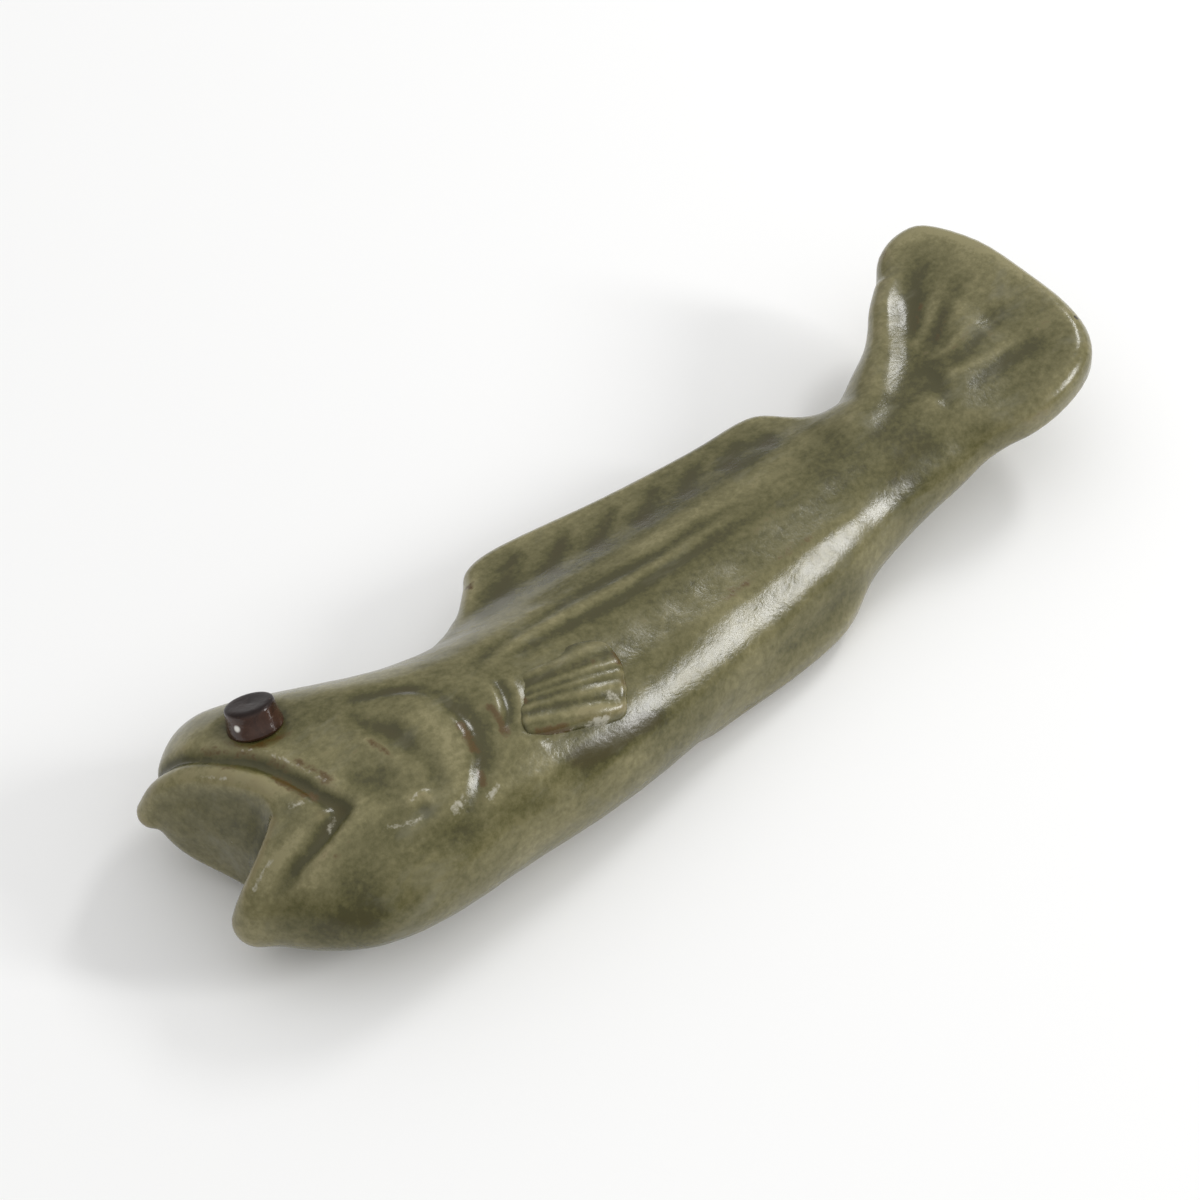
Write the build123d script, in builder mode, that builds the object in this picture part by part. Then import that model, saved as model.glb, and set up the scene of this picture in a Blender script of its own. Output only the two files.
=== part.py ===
"""Fish-shaped chopstick rest in glazed stoneware, millimetres.

The fish lies on its side: +X runs from the mouth to the tail, +Y to the back fin, +Z up.
The origin is on the flat unglazed foot that the fish stands on.
"""

import os
from math import cos, radians, sin, tan
from typing import NamedTuple

from build123d import *


class Section(NamedTuple):
    """One oval slice across the fish, from belly to back and from underside to crown."""

    station: float
    belly: float
    back: float
    underside: float
    crown: float

    @property
    def middle(self):
        return ((self.belly + self.back) / 2, (self.underside + self.crown) / 2)

    @property
    def radii(self):
        return ((self.back - self.belly) / 2, (self.crown - self.underside) / 2)


# Tail fan, a grooved plate that climbs away from the table
FAN_SET_BACK = 2.4
FAN_START_HEIGHT = 7.25
FAN_CLIMB = 9.0
FAN_MIDDLE = 0.7
FAN_LENGTH = 17.3
FAN_UPPER_ROOT = 2.4
FAN_LOWER_ROOT = 6.2
FAN_UPPER_TIP = 11.3
FAN_LOWER_TIP = 11.0
FAN_UPPER_BULGE = 3.1
FAN_LOWER_BULGE = 5.6
FAN_UPPER_BOW = 1.0
FAN_LOWER_BOW = 1.4
FAN_CORNER = 2.6
FAN_THICKNESS = 3.8
FAN_GROOVES = 4
FAN_GROOVE_START = 5.0
FAN_GROOVE_END = 13.6
FAN_GROOVE_ROOT = 7.6
FAN_GROOVE_SPREAD = 15.0
FAN_GROOVE_RADIUS = 0.6
FAN_LAP = 9.6
FAN_LAP_WIDTH = 10.0
FAN_LAP_THICKNESS = 3.2

# Slices of the fish without its fins, from the lips to the root of the tail.
# An underside below zero is cut off by the foot, and the last slice ends inside the fan.
LIPS = Section(station=-37.9, belly=-8.0, back=5.6, underside=2.2, crown=8.6)
JAW = Section(station=-34.0, belly=-12.2, back=9.1, underside=0.8, crown=11.2)
EYE = Section(station=-28.0, belly=-14.5, back=8.4, underside=-0.6, crown=12.6)
GILL = Section(station=-20.0, belly=-14.4, back=4.4, underside=-1.6, crown=13.0)
SHOULDER = Section(station=-10.0, belly=-14.3, back=3.5, underside=-1.8, crown=11.8)
SADDLE = Section(station=4.0, belly=-12.6, back=3.4, underside=-1.8, crown=10.4)
VENT = Section(station=16.0, belly=-10.8, back=3.4, underside=-1.2, crown=10.0)
TAIL_STEM = Section(station=26.0, belly=-9.1, back=2.7, underside=1.2, crown=10.1)
FAN_START = TAIL_STEM.station + FAN_SET_BACK
FAN_LAP_HEIGHT = FAN_START_HEIGHT + FAN_LAP * tan(radians(FAN_CLIMB))
TAIL_ROOT = Section(station=FAN_START + FAN_LAP / 2, belly=-8.2, back=4.4, underside=4.6, crown=10.5)
TAIL_END = Section(
    station=FAN_START + FAN_LAP,
    belly=FAN_MIDDLE - FAN_LAP_WIDTH / 2,
    back=FAN_MIDDLE + FAN_LAP_WIDTH / 2,
    underside=FAN_LAP_HEIGHT - FAN_LAP_THICKNESS / 2,
    crown=FAN_LAP_HEIGHT + FAN_LAP_THICKNESS / 2,
)
SECTIONS = (LIPS, JAW, EYE, GILL, SHOULDER, SADDLE, VENT, TAIL_STEM, TAIL_ROOT, TAIL_END)

# Mouth, open at the front and to the upper side, with a band of lip along each edge
MOUTH_FLOOR = 4.1
MOUTH_CROWN = 11.2
MOUTH_UPPER_SLOPE = 1.7
MOUTH_LOWER_SLOPE = 0.6
MOUTH_OVERRUN = 0.6
MOUTH_DEPTH = 4.8
MOUTH_CORNER_Y = -3.6
UPPER_LIP_Y = 6.2
UPPER_LIP_BOW = 1.0
UPPER_LIP_BAND = 1.3
LOWER_LIP_Y = -5.9
LOWER_LIP_BAND = 2.8
LIP_RISE = 0.4
NOTCH_DEPTH = 2.6
NOTCH_Y = -2.6

# Gill cover: a groove along its edge, a disc less the same disc moved forward
GILL_FORWARD = 4.6
GILL_Y = -6.6
GILL_RADIUS = 6.3
GILL_BAND = 1.3
GILL_DEPTH = 0.6

# Recess between the cheek and the gill cover, a wedge that widens towards the belly
RECESS_FORWARD = 4.8
RECESS_TOP = -0.9
RECESS_LENGTH = 6.2
RECESS_LEAN = 1.6
RECESS_WIDTH = 2.2
RECESS_DEPTH = 0.5

# Eye, a bead seated in a round socket
EYE_FORWARD = 1.5
EYE_Y = 2.8
EYE_TILT = 21.0
EYE_DIAMETER = 4.2
EYE_HEIGHT = 1.25
EYE_ROUNDING = 0.5
EYE_SEAT_DEPTH = 0.9
EYE_CLEARANCE = 0.05

# Pectoral fin, a fan pressed on to the flank
PECTORAL_FORWARD = 4.5
PECTORAL_Y = -7.4
PECTORAL_AIM = -13.0
PECTORAL_LENGTH = 7.2
PECTORAL_ROOT_WIDTH = 4.4
PECTORAL_TIP_WIDTH = 5.9
PECTORAL_BULGE = 0.7
PECTORAL_RISE = 0.85
PECTORAL_RAYS = 5
PECTORAL_GROOVE = 0.45

# Back fin, a folded plate that leans down from the back.
# Its heights and its root are measured from a line beside the saddle's back.
BACK_FIN_LEAN = 17.0
BACK_FIN_STANDOFF = 0.6
BACK_FIN_LIFT = 0.9
BACK_FIN_FRONT = -11.2
BACK_FIN_REAR = 22.4
BACK_FIN_FRONT_RAKE = 5.0
BACK_FIN_REAR_RAKE = 1.5
BACK_FIN_FRONT_HEIGHT = 5.9
BACK_FIN_REAR_HEIGHT = 2.75
BACK_FIN_ROOT_DEPTH = 5.0
BACK_FIN_THICKNESS = 3.2
BACK_FIN_FOLDS = 7
BACK_FIN_FOLD_RADIUS = 0.65
BACK_FIN_FOLD_SLANT = 5.0
BACK_FIN_FOLD_REACH = 0.65

# Belly fin, a low plate that passes the saddle's belly a little
BELLY_FIN_FRONT = -2.0
BELLY_FIN_REAR = 17.2
BELLY_FIN_REACH = 0.3
BELLY_FIN_TAPER = 4.0
BELLY_FIN_ROOT_DEPTH = 5.6
BELLY_FIN_LOW = 0.6
BELLY_FIN_THICKNESS = 3.6

# The rounding of a plate's rim, as a share of its thickness, and the thin end of a groove
RIM_SHARE = 0.42
GROOVE_END_SHARE = 0.3

# Raised details are cut from upright prisms that start at this height inside the fish
RELIEF_FLOOR = 4.5
OVERHEAD = 30.0


def flank_form(grow=0.0):
    """The fish without fins, with every slice grown by the same amount."""
    with BuildPart() as form:
        for section in SECTIONS:
            across, up = section.radii
            with BuildSketch(Plane.YZ.offset(section.station)):
                with Locations(section.middle):
                    Ellipse(across + grow, up + grow)
        loft()
    return form.part


def on_flank(place, lift=0.0):
    """The point of the upper flank above a place in plan, raised by a lift."""
    sight = Axis((*place, OVERHEAD), (0, 0, -1))
    heights = [point.Z for point, _ in FLANK.find_intersection_points(sight)]
    return Vector(*place, max(heights) + lift)


def cut_groove(start, end, start_radius, end_radius):
    """Cut one tapering groove along the line between two points."""
    along = end - start
    with Locations(Plane(origin=start, z_dir=along)):
        Cone(
            start_radius,
            end_radius,
            along.length,
            align=(Align.CENTER, Align.CENTER, Align.MIN),
            mode=Mode.SUBTRACT,
        )


def round_rims(plate, plane, outward, thickness):
    """Round both rims of a plate along a plane, but not where its root lies in the body."""
    stacked = plate.faces().sort_by(Axis(plane.origin, plane.z_dir))
    for face in (stacked[0], stacked[-1]):
        root_edge, *free_edges = face.edges().sort_by(Axis(plane.origin, outward))
        fillet(free_edges, radius=RIM_SHARE * thickness)


def recess(face, depth):
    """What a recess with this outline takes from the flank, to an even depth."""
    with BuildPart() as cutter:
        with BuildSketch(Plane.XY.offset(RELIEF_FLOOR)):
            add(face)
        extrude(amount=OVERHEAD)
        add(flank_form(-depth), mode=Mode.SUBTRACT)
    return cutter.part


FLANK = flank_form()

# Back fin
back_fin_plane = Plane(
    origin=(0, SADDLE.back + BACK_FIN_STANDOFF, SADDLE.middle[1] + BACK_FIN_LIFT),
    x_dir=(1, 0, 0),
    z_dir=(0, sin(radians(BACK_FIN_LEAN)), cos(radians(BACK_FIN_LEAN))),
)
with BuildPart() as back_fin:
    with BuildSketch(back_fin_plane):
        with BuildLine():
            Polyline(
                (BACK_FIN_FRONT, -BACK_FIN_ROOT_DEPTH),
                (BACK_FIN_FRONT, 0),
                (BACK_FIN_FRONT + BACK_FIN_FRONT_RAKE, BACK_FIN_FRONT_HEIGHT),
                (BACK_FIN_REAR - BACK_FIN_REAR_RAKE, BACK_FIN_REAR_HEIGHT),
                (BACK_FIN_REAR, 0),
                (BACK_FIN_REAR, -BACK_FIN_ROOT_DEPTH),
                close=True,
            )
        make_face()
    extrude(amount=BACK_FIN_THICKNESS / 2, both=True)
    round_rims(back_fin, back_fin_plane, back_fin_plane.y_dir, BACK_FIN_THICKNESS)
    fold_step = (BACK_FIN_REAR - BACK_FIN_FRONT - BACK_FIN_FRONT_RAKE) / BACK_FIN_FOLDS
    for fold in range(BACK_FIN_FOLDS):
        share = (fold + 0.5) / BACK_FIN_FOLDS
        root = BACK_FIN_FRONT + BACK_FIN_FRONT_RAKE / 2 + (fold + 0.5) * fold_step
        height = BACK_FIN_FRONT_HEIGHT + share * (BACK_FIN_REAR_HEIGHT - BACK_FIN_FRONT_HEIGHT)
        cut_groove(
            back_fin_plane.from_local_coords((root, -BACK_FIN_FOLD_RADIUS, BACK_FIN_THICKNESS / 2)),
            back_fin_plane.from_local_coords(
                (root + BACK_FIN_FOLD_SLANT, BACK_FIN_FOLD_REACH * height, BACK_FIN_THICKNESS / 2)
            ),
            BACK_FIN_FOLD_RADIUS,
            BACK_FIN_FOLD_RADIUS * GROOVE_END_SHARE,
        )

# Belly fin
belly_fin_edge = SADDLE.belly - BELLY_FIN_REACH
belly_fin_root = belly_fin_edge + BELLY_FIN_ROOT_DEPTH
with BuildPart() as belly_fin:
    with BuildSketch(Plane.XY.offset(BELLY_FIN_LOW)):
        with BuildLine():
            Polyline(
                (BELLY_FIN_FRONT, belly_fin_root),
                (BELLY_FIN_FRONT, belly_fin_edge),
                (BELLY_FIN_REAR - BELLY_FIN_TAPER, belly_fin_edge),
                (BELLY_FIN_REAR, belly_fin_edge + BELLY_FIN_TAPER),
                (BELLY_FIN_REAR, belly_fin_root),
                close=True,
            )
        make_face()
    extrude(amount=BELLY_FIN_THICKNESS)
    round_rims(belly_fin, Plane.XY, (0, -1, 0), BELLY_FIN_THICKNESS)

# Tail fan
fan_plane = Plane(
    origin=(FAN_START, FAN_MIDDLE, FAN_START_HEIGHT),
    x_dir=(cos(radians(FAN_CLIMB)), 0, sin(radians(FAN_CLIMB))),
    z_dir=(-sin(radians(FAN_CLIMB)), 0, cos(radians(FAN_CLIMB))),
)
upper_root, upper_tip = (0, FAN_UPPER_ROOT), (FAN_LENGTH - FAN_UPPER_BULGE, FAN_UPPER_TIP)
lower_root, lower_tip = (0, -FAN_LOWER_ROOT), (FAN_LENGTH - FAN_LOWER_BULGE, -FAN_LOWER_TIP)
with BuildPart() as tail_fan:
    with BuildSketch(fan_plane) as fan_outline:
        with BuildLine():
            Line(lower_root, upper_root)
            SagittaArc(upper_root, upper_tip, FAN_UPPER_BOW)
            ThreePointArc(upper_tip, (FAN_LENGTH, 0), lower_tip)
            SagittaArc(lower_tip, lower_root, FAN_LOWER_BOW)
        make_face()
        fillet(fan_outline.vertices().sort_by(Axis.X)[-2:], radius=FAN_CORNER)
    extrude(amount=FAN_THICKNESS / 2, both=True)
    round_rims(tail_fan, fan_plane, fan_plane.x_dir, FAN_THICKNESS)
    for groove in range(FAN_GROOVES):
        share = (groove + 0.5) / FAN_GROOVES - 0.5
        cut_groove(
            fan_plane.from_local_coords((FAN_GROOVE_START, share * FAN_GROOVE_ROOT, FAN_THICKNESS / 2)),
            fan_plane.from_local_coords((FAN_GROOVE_END, share * FAN_GROOVE_SPREAD, FAN_THICKNESS / 2)),
            FAN_GROOVE_RADIUS * GROOVE_END_SHARE,
            FAN_GROOVE_RADIUS,
        )

# Lips, bands along both edges of the mouth and round its corner, whose inner halves the mouth cuts away
mouth_front = LIPS.station - MOUTH_OVERRUN
mouth_corner = (LIPS.station + MOUTH_DEPTH, MOUTH_CORNER_Y)
upper_front = (mouth_front, UPPER_LIP_Y)
lower_front = (mouth_front, LOWER_LIP_Y)
with BuildPart() as lips:
    with BuildSketch(Plane.XY.offset(RELIEF_FLOOR)):
        with BuildLine():
            SagittaArc(upper_front, mouth_corner, UPPER_LIP_BOW)
        trace(line_width=2 * UPPER_LIP_BAND)
        with BuildLine():
            Line(mouth_corner, lower_front)
        trace(line_width=2 * LOWER_LIP_BAND)
        with Locations(mouth_corner):
            Circle(LOWER_LIP_BAND)
    extrude(amount=OVERHEAD)
    add(flank_form(LIP_RISE), mode=Mode.INTERSECT)

# Eye seat, tilted a little towards the back
eye_axis = Vector(0, sin(radians(EYE_TILT)), cos(radians(EYE_TILT)))
eye_crown = on_flank((EYE.station - EYE_FORWARD, EYE_Y))
eye_seat = Plane(origin=eye_crown - eye_axis * EYE_SEAT_DEPTH, x_dir=(1, 0, 0), z_dir=eye_axis)

# Mouth, a bowl whose walls slope from the lips to its floor
with BuildPart() as mouth:
    for height, upper_inset, lower_inset in (
        (MOUTH_FLOOR, MOUTH_UPPER_SLOPE, MOUTH_LOWER_SLOPE),
        (MOUTH_CROWN, 0.0, 0.0),
    ):
        corner = (mouth_corner[0] - (upper_inset + lower_inset) / 2, mouth_corner[1] + (lower_inset - upper_inset) / 2)
        upper_end = (mouth_front, UPPER_LIP_Y - upper_inset)
        lower_end = (mouth_front, LOWER_LIP_Y + lower_inset)
        with BuildSketch(Plane.XY.offset(height)):
            with BuildLine():
                SagittaArc(upper_end, corner, UPPER_LIP_BOW)
                Polyline(corner, lower_end, upper_end)
            make_face()
    loft()
    extrude(mouth.faces().sort_by(Axis.Z)[-1], amount=OVERHEAD)

# Outlines of the gill groove and of the recess in front of it
gill_middle = (GILL.station - GILL_FORWARD, GILL_Y)
with BuildSketch() as gill_groove:
    with Locations(gill_middle):
        Circle(GILL_RADIUS)
    with Locations((gill_middle[0] - GILL_BAND, gill_middle[1])):
        Circle(GILL_RADIUS, mode=Mode.SUBTRACT)
recess_top = (GILL.station - RECESS_FORWARD, RECESS_TOP)
recess_foot = (recess_top[0] + RECESS_LEAN, recess_top[1] - RECESS_LENGTH)
with BuildSketch() as cheek_recess:
    with BuildLine():
        SagittaArc(recess_foot, recess_top, -RECESS_WIDTH / 4)
        SagittaArc(recess_top, recess_foot, 3 * RECESS_WIDTH / 4)
    make_face()

# Body
with BuildPart() as fish_body:
    add(FLANK)
    add(back_fin.part)
    add(belly_fin.part)
    add(tail_fan.part)
    add(lips.part)
    add(recess(gill_groove.sketch, GILL_DEPTH), mode=Mode.SUBTRACT)
    add(recess(cheek_recess.sketch, RECESS_DEPTH), mode=Mode.SUBTRACT)
    add(mouth.part, mode=Mode.SUBTRACT)
    with BuildSketch(Plane.XY):
        with BuildLine():
            Polyline(upper_front, (LIPS.station + NOTCH_DEPTH, NOTCH_Y), lower_front, close=True)
        make_face()
    extrude(amount=OVERHEAD, mode=Mode.SUBTRACT)
    with BuildSketch(eye_seat):
        Circle(EYE_DIAMETER / 2 + EYE_CLEARANCE)
    extrude(amount=OVERHEAD, mode=Mode.SUBTRACT)
    split(bisect_by=Plane.XY, keep=Keep.TOP)
fish_body.part.label = "fish_body"

# Eye bead
with BuildPart() as eye_bead:
    with BuildSketch(eye_seat):
        Circle(EYE_DIAMETER / 2)
    extrude(amount=EYE_SEAT_DEPTH + EYE_HEIGHT)
    rim = eye_bead.edges().sort_by(Axis(eye_seat.origin, eye_axis))[-1]
    fillet(rim, radius=min(EYE_ROUNDING, RIM_SHARE * EYE_DIAMETER))
eye_bead.part.label = "eye_bead"

# Pectoral fin
pectoral_plane = Plane(
    origin=(SHOULDER.station - PECTORAL_FORWARD, PECTORAL_Y, RELIEF_FLOOR),
    x_dir=(cos(radians(PECTORAL_AIM)), sin(radians(PECTORAL_AIM)), 0),
    z_dir=(0, 0, 1),
)
with BuildPart() as pectoral_fin:
    with BuildSketch(pectoral_plane):
        with BuildLine():
            Polyline(
                (PECTORAL_LENGTH, -PECTORAL_TIP_WIDTH / 2),
                (0, -PECTORAL_ROOT_WIDTH / 2),
                (0, PECTORAL_ROOT_WIDTH / 2),
                (PECTORAL_LENGTH, PECTORAL_TIP_WIDTH / 2),
            )
            ThreePointArc(
                (PECTORAL_LENGTH, PECTORAL_TIP_WIDTH / 2),
                (PECTORAL_LENGTH + PECTORAL_BULGE, 0),
                (PECTORAL_LENGTH, -PECTORAL_TIP_WIDTH / 2),
            )
        make_face()
    extrude(amount=OVERHEAD)
    add(flank_form(PECTORAL_RISE), mode=Mode.INTERSECT)
    add(fish_body.part, mode=Mode.SUBTRACT)
    for ray in range(1, PECTORAL_RAYS):
        share = ray / PECTORAL_RAYS - 0.5
        tip_length = PECTORAL_LENGTH + PECTORAL_BULGE
        root = pectoral_plane.from_local_coords((0, share * PECTORAL_ROOT_WIDTH, 0))
        tip = pectoral_plane.from_local_coords((tip_length, share * PECTORAL_TIP_WIDTH, 0))
        cut_groove(
            on_flank((root.X, root.Y), PECTORAL_RISE),
            on_flank((tip.X, tip.Y), PECTORAL_RISE),
            PECTORAL_GROOVE * GROOVE_END_SHARE,
            PECTORAL_GROOVE,
        )
pectoral_fin.part.label = "pectoral_fin"

os.makedirs("parts", exist_ok=True)
for piece in (fish_body, eye_bead, pectoral_fin):
    export_step(piece.part, f"parts/{piece.part.label}.step")
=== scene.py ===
"""Fish-shaped chopstick rest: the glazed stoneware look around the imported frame.

The fish is sculpted as a signed distance field in millimetres, negative inside, and meshed once.
Soft forms come from smooth unions of the body, the fins and the tail. The press-moulded details are
drawn in plan, as a mould maker cuts them, and added to the upper side as a relief.
"""

import math

import bmesh
import bpy
import numpy as np
from mathutils import Matrix, Vector


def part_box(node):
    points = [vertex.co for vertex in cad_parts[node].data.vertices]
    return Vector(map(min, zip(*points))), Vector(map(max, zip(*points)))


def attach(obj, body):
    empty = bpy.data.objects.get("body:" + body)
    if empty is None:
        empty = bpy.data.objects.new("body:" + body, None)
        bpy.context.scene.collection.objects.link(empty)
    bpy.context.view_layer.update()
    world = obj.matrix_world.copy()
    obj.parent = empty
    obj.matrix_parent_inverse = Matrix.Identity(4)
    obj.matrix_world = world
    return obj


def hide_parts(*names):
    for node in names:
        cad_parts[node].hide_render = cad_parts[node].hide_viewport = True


MM = 0.001

# Camera: the photograph's viewing angle, with its frame taken as square
VIEW_AZIMUTH = -40.0
VIEW_ELEVATION = 50.0
VIEW_DISTANCE = 200.0
VIEW_TARGET = (-0.58, 0.49, 5.0)
VIEW_LENS = 79.2
VIEW_SENSOR = 36.0
VIEW_CLIP_START = 0.01

# How much a millimetre of height lightens the glaze, and the heights over which tones fade in
TONE_OF_HEIGHT = 1.6
TONE_FADE = (2.5, 5.0)

# Half the width of the step at a raised edge
SHINGLE_STEP = 0.4

# Heights, from the middle of the fish or of a fin, over which the relief fades in
BODY_RELIEF_FADE = (-1.0, 1.5)
FIN_RELIEF_FADE = (-0.4, 0.8)

# Unevenness of the pressed clay: height, wavelength and seed
CLAY_RIPPLES = ((0.045, 8.0, 3), (0.016, 2.6, 4))

# Meshing: the box and the pitch of the body and of the pectoral fin
BODY_BOX = ((-41.2, -17.0, -0.7), (46.6, 13.4, 14.8))
BODY_PITCH = 0.22
FIN_BOX = ((-16.4, -12.7, 6.5), (-5.6, -4.0, 13.6))
FIN_PITCH = 0.12

# How far around a point its surroundings are looked at, to tell edges from hollows
STAND_OUT_REACHES = (("fine", 0.5), ("broad", 1.6))

# Slices of the fish: station, belly, back, underside, crown
SLICES = (
    (-37.9, -8.0, 5.0, 2.2, 8.8),
    (-34.0, -12.2, 8.9, 0.8, 11.3),
    (-28.0, -14.5, 8.4, -0.6, 12.6),
    (-20.0, -14.4, 4.4, -1.6, 13.0),
    (-10.0, -14.3, 3.5, -1.8, 11.8),
    (4.0, -12.6, 3.4, -1.8, 10.4),
    (16.0, -10.8, 3.3, -1.2, 10.0),
    (26.0, -9.1, 2.7, 1.2, 10.1),
    (33.2, -8.2, 4.4, 4.6, 10.5),
    (38.0, -4.3, 5.7, 7.17, 10.37),
)
NOSE_END = -38.9
NOSE_ROUNDING = 2.4
TAIL_STEM_END = 37.6
TAIL_STEM_ROUNDING = 1.0
FOOT_ROUNDING = 0.4


# Small tools for curves


def natural_spline(stations, values):
    """A smooth curve through the values, as a function of the station."""
    x = np.asarray(stations, float)
    y = np.asarray(values, float)
    count = len(x)
    gap = np.diff(x)
    matrix = np.eye(count)
    right = np.zeros(count)
    for i in range(1, count - 1):
        matrix[i, i - 1 : i + 2] = gap[i - 1], 2 * (gap[i - 1] + gap[i]), gap[i]
        right[i] = 6 * ((y[i + 1] - y[i]) / gap[i] - (y[i] - y[i - 1]) / gap[i - 1])
    bend = np.linalg.solve(matrix, right)

    def curve(at):
        at = np.clip(np.asarray(at, float), x[0] - 3, x[-1] + 3)
        i = np.clip(np.searchsorted(x, at) - 1, 0, count - 2)
        a = x[i + 1] - at
        b = at - x[i]
        h = gap[i]
        return (
            bend[i] * a**3 / (6 * h)
            + bend[i + 1] * b**3 / (6 * h)
            + (y[i] / h - bend[i] * h / 6) * a
            + (y[i + 1] / h - bend[i + 1] * h / 6) * b
        )

    return curve


def rounded_path(points, steps=8, closed=False):
    """Points on a smooth curve through the given ones."""
    p = np.asarray(points, float)
    if closed:
        p = np.vstack([p[-1], p, p[0], p[1]])
    else:
        p = np.vstack([2 * p[0] - p[1], p, 2 * p[-1] - p[-2]])
    t = np.linspace(0, 1, steps, endpoint=False)[:, None]
    runs = []
    for a, b, c, d in zip(p, p[1:], p[2:], p[3:]):
        bent = 2 * b + (c - a) * t + (2 * a - 5 * b + 4 * c - d) * t**2 + (3 * b - a - 3 * c + d) * t**3
        runs.append(bent / 2)
    path = np.vstack(runs)
    return path if closed else np.vstack([path, p[-2]])


def path_distance(px, py, path):
    """Distance to a path in plan, the share of the way along it, and +1 on its left, -1 on its right."""
    best = np.full(np.broadcast(px, py).shape, 1e9)
    share = np.zeros_like(best)
    side = np.ones_like(best)
    lengths = np.hypot(*np.diff(path, axis=0).T)
    reached = np.concatenate([[0], np.cumsum(lengths)])
    for i, (a, b) in enumerate(zip(path, path[1:])):
        ux, uy = (b - a) / max(lengths[i], 1e-9)
        along = np.clip((px - a[0]) * ux + (py - a[1]) * uy, 0, lengths[i])
        away_x = px - a[0] - along * ux
        away_y = py - a[1] - along * uy
        distance = np.hypot(away_x, away_y)
        nearer = distance < best - 1e-9
        best = np.where(nearer, distance, best)
        share = np.where(nearer, (reached[i] + along) / reached[-1], share)
        side = np.where(nearer, np.sign(ux * away_y - uy * away_x), side)
    return best, share, side


def outline_distance(px, py, outline):
    """Signed distance to a closed outline in plan, negative inside."""
    best = np.full(np.broadcast(px, py).shape, 1e9)
    inside = np.zeros(best.shape, bool)
    for a, b in zip(outline, np.roll(outline, -1, axis=0)):
        edge = b - a
        length = max(float(edge @ edge), 1e-12)
        along = np.clip(((px - a[0]) * edge[0] + (py - a[1]) * edge[1]) / length, 0, 1)
        best = np.minimum(best, np.hypot(px - a[0] - along * edge[0], py - a[1] - along * edge[1]))
        crosses = (a[1] > py) != (b[1] > py)
        slope = edge[0] / edge[1] if edge[1] else 0.0
        inside ^= crosses & (px < a[0] + (py - a[1]) * slope)
    return np.where(inside, -best, best)


# Small tools for fields


def smooth_min(a, b, blend):
    mix = np.clip(0.5 + 0.5 * (b - a) / blend, 0, 1)
    return b + (a - b) * mix - blend * mix * (1 - mix)


def smooth_max(a, b, blend):
    return -smooth_min(-a, -b, blend)


def ease(value, low, high):
    """From 0 at low to 1 at high, with soft ends."""
    t = np.clip((value - low) / (high - low), 0, 1)
    return t * t * (3 - 2 * t)


def hump(distance, reach):
    """1 on the line, 0 from the reach on."""
    return 0.5 + 0.5 * np.cos(np.pi * np.clip(distance / reach, 0, 1))


class Grid:
    """Sample points of a box, as three arrays that broadcast together."""

    def __init__(self, low, high, pitch):
        self.low = np.asarray(low, float)
        self.pitch = pitch
        counts = [int(math.ceil((b - a) / pitch)) + 1 for a, b in zip(low, high)]
        axes = [a + pitch * np.arange(n) for a, n in zip(low, counts)]
        self.take_axes(*axes)

    def take_axes(self, xs, ys, zs):
        self.x = np.asarray(xs, np.float32)[:, None, None]
        self.y = np.asarray(ys, np.float32)[None, :, None]
        self.z = np.asarray(zs, np.float32)[None, None, :]

    def window(self, low, high):
        """The slices of a smaller box, and its own sample points."""
        axes = [self.x.ravel(), self.y.ravel(), self.z.ravel()]
        cuts = []
        for axis, a, b in zip(axes, low, high):
            first, last = np.searchsorted(axis, (a, b))
            cuts.append(slice(first, max(last, first + 1)))
        part = object.__new__(Grid)
        part.take_axes(*(axis[cut] for axis, cut in zip(axes, cuts)))
        return tuple(cuts), part


# The relief, drawn in plan


def tapered(share, ends):
    """A profile along a line that fades in and out over the given shares of its length."""
    start, stop = ends
    rise = ease(share, 0, start) if start else 1.0
    fall = ease(1 - share, 0, stop) if stop else 1.0
    return rise * fall


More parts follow.
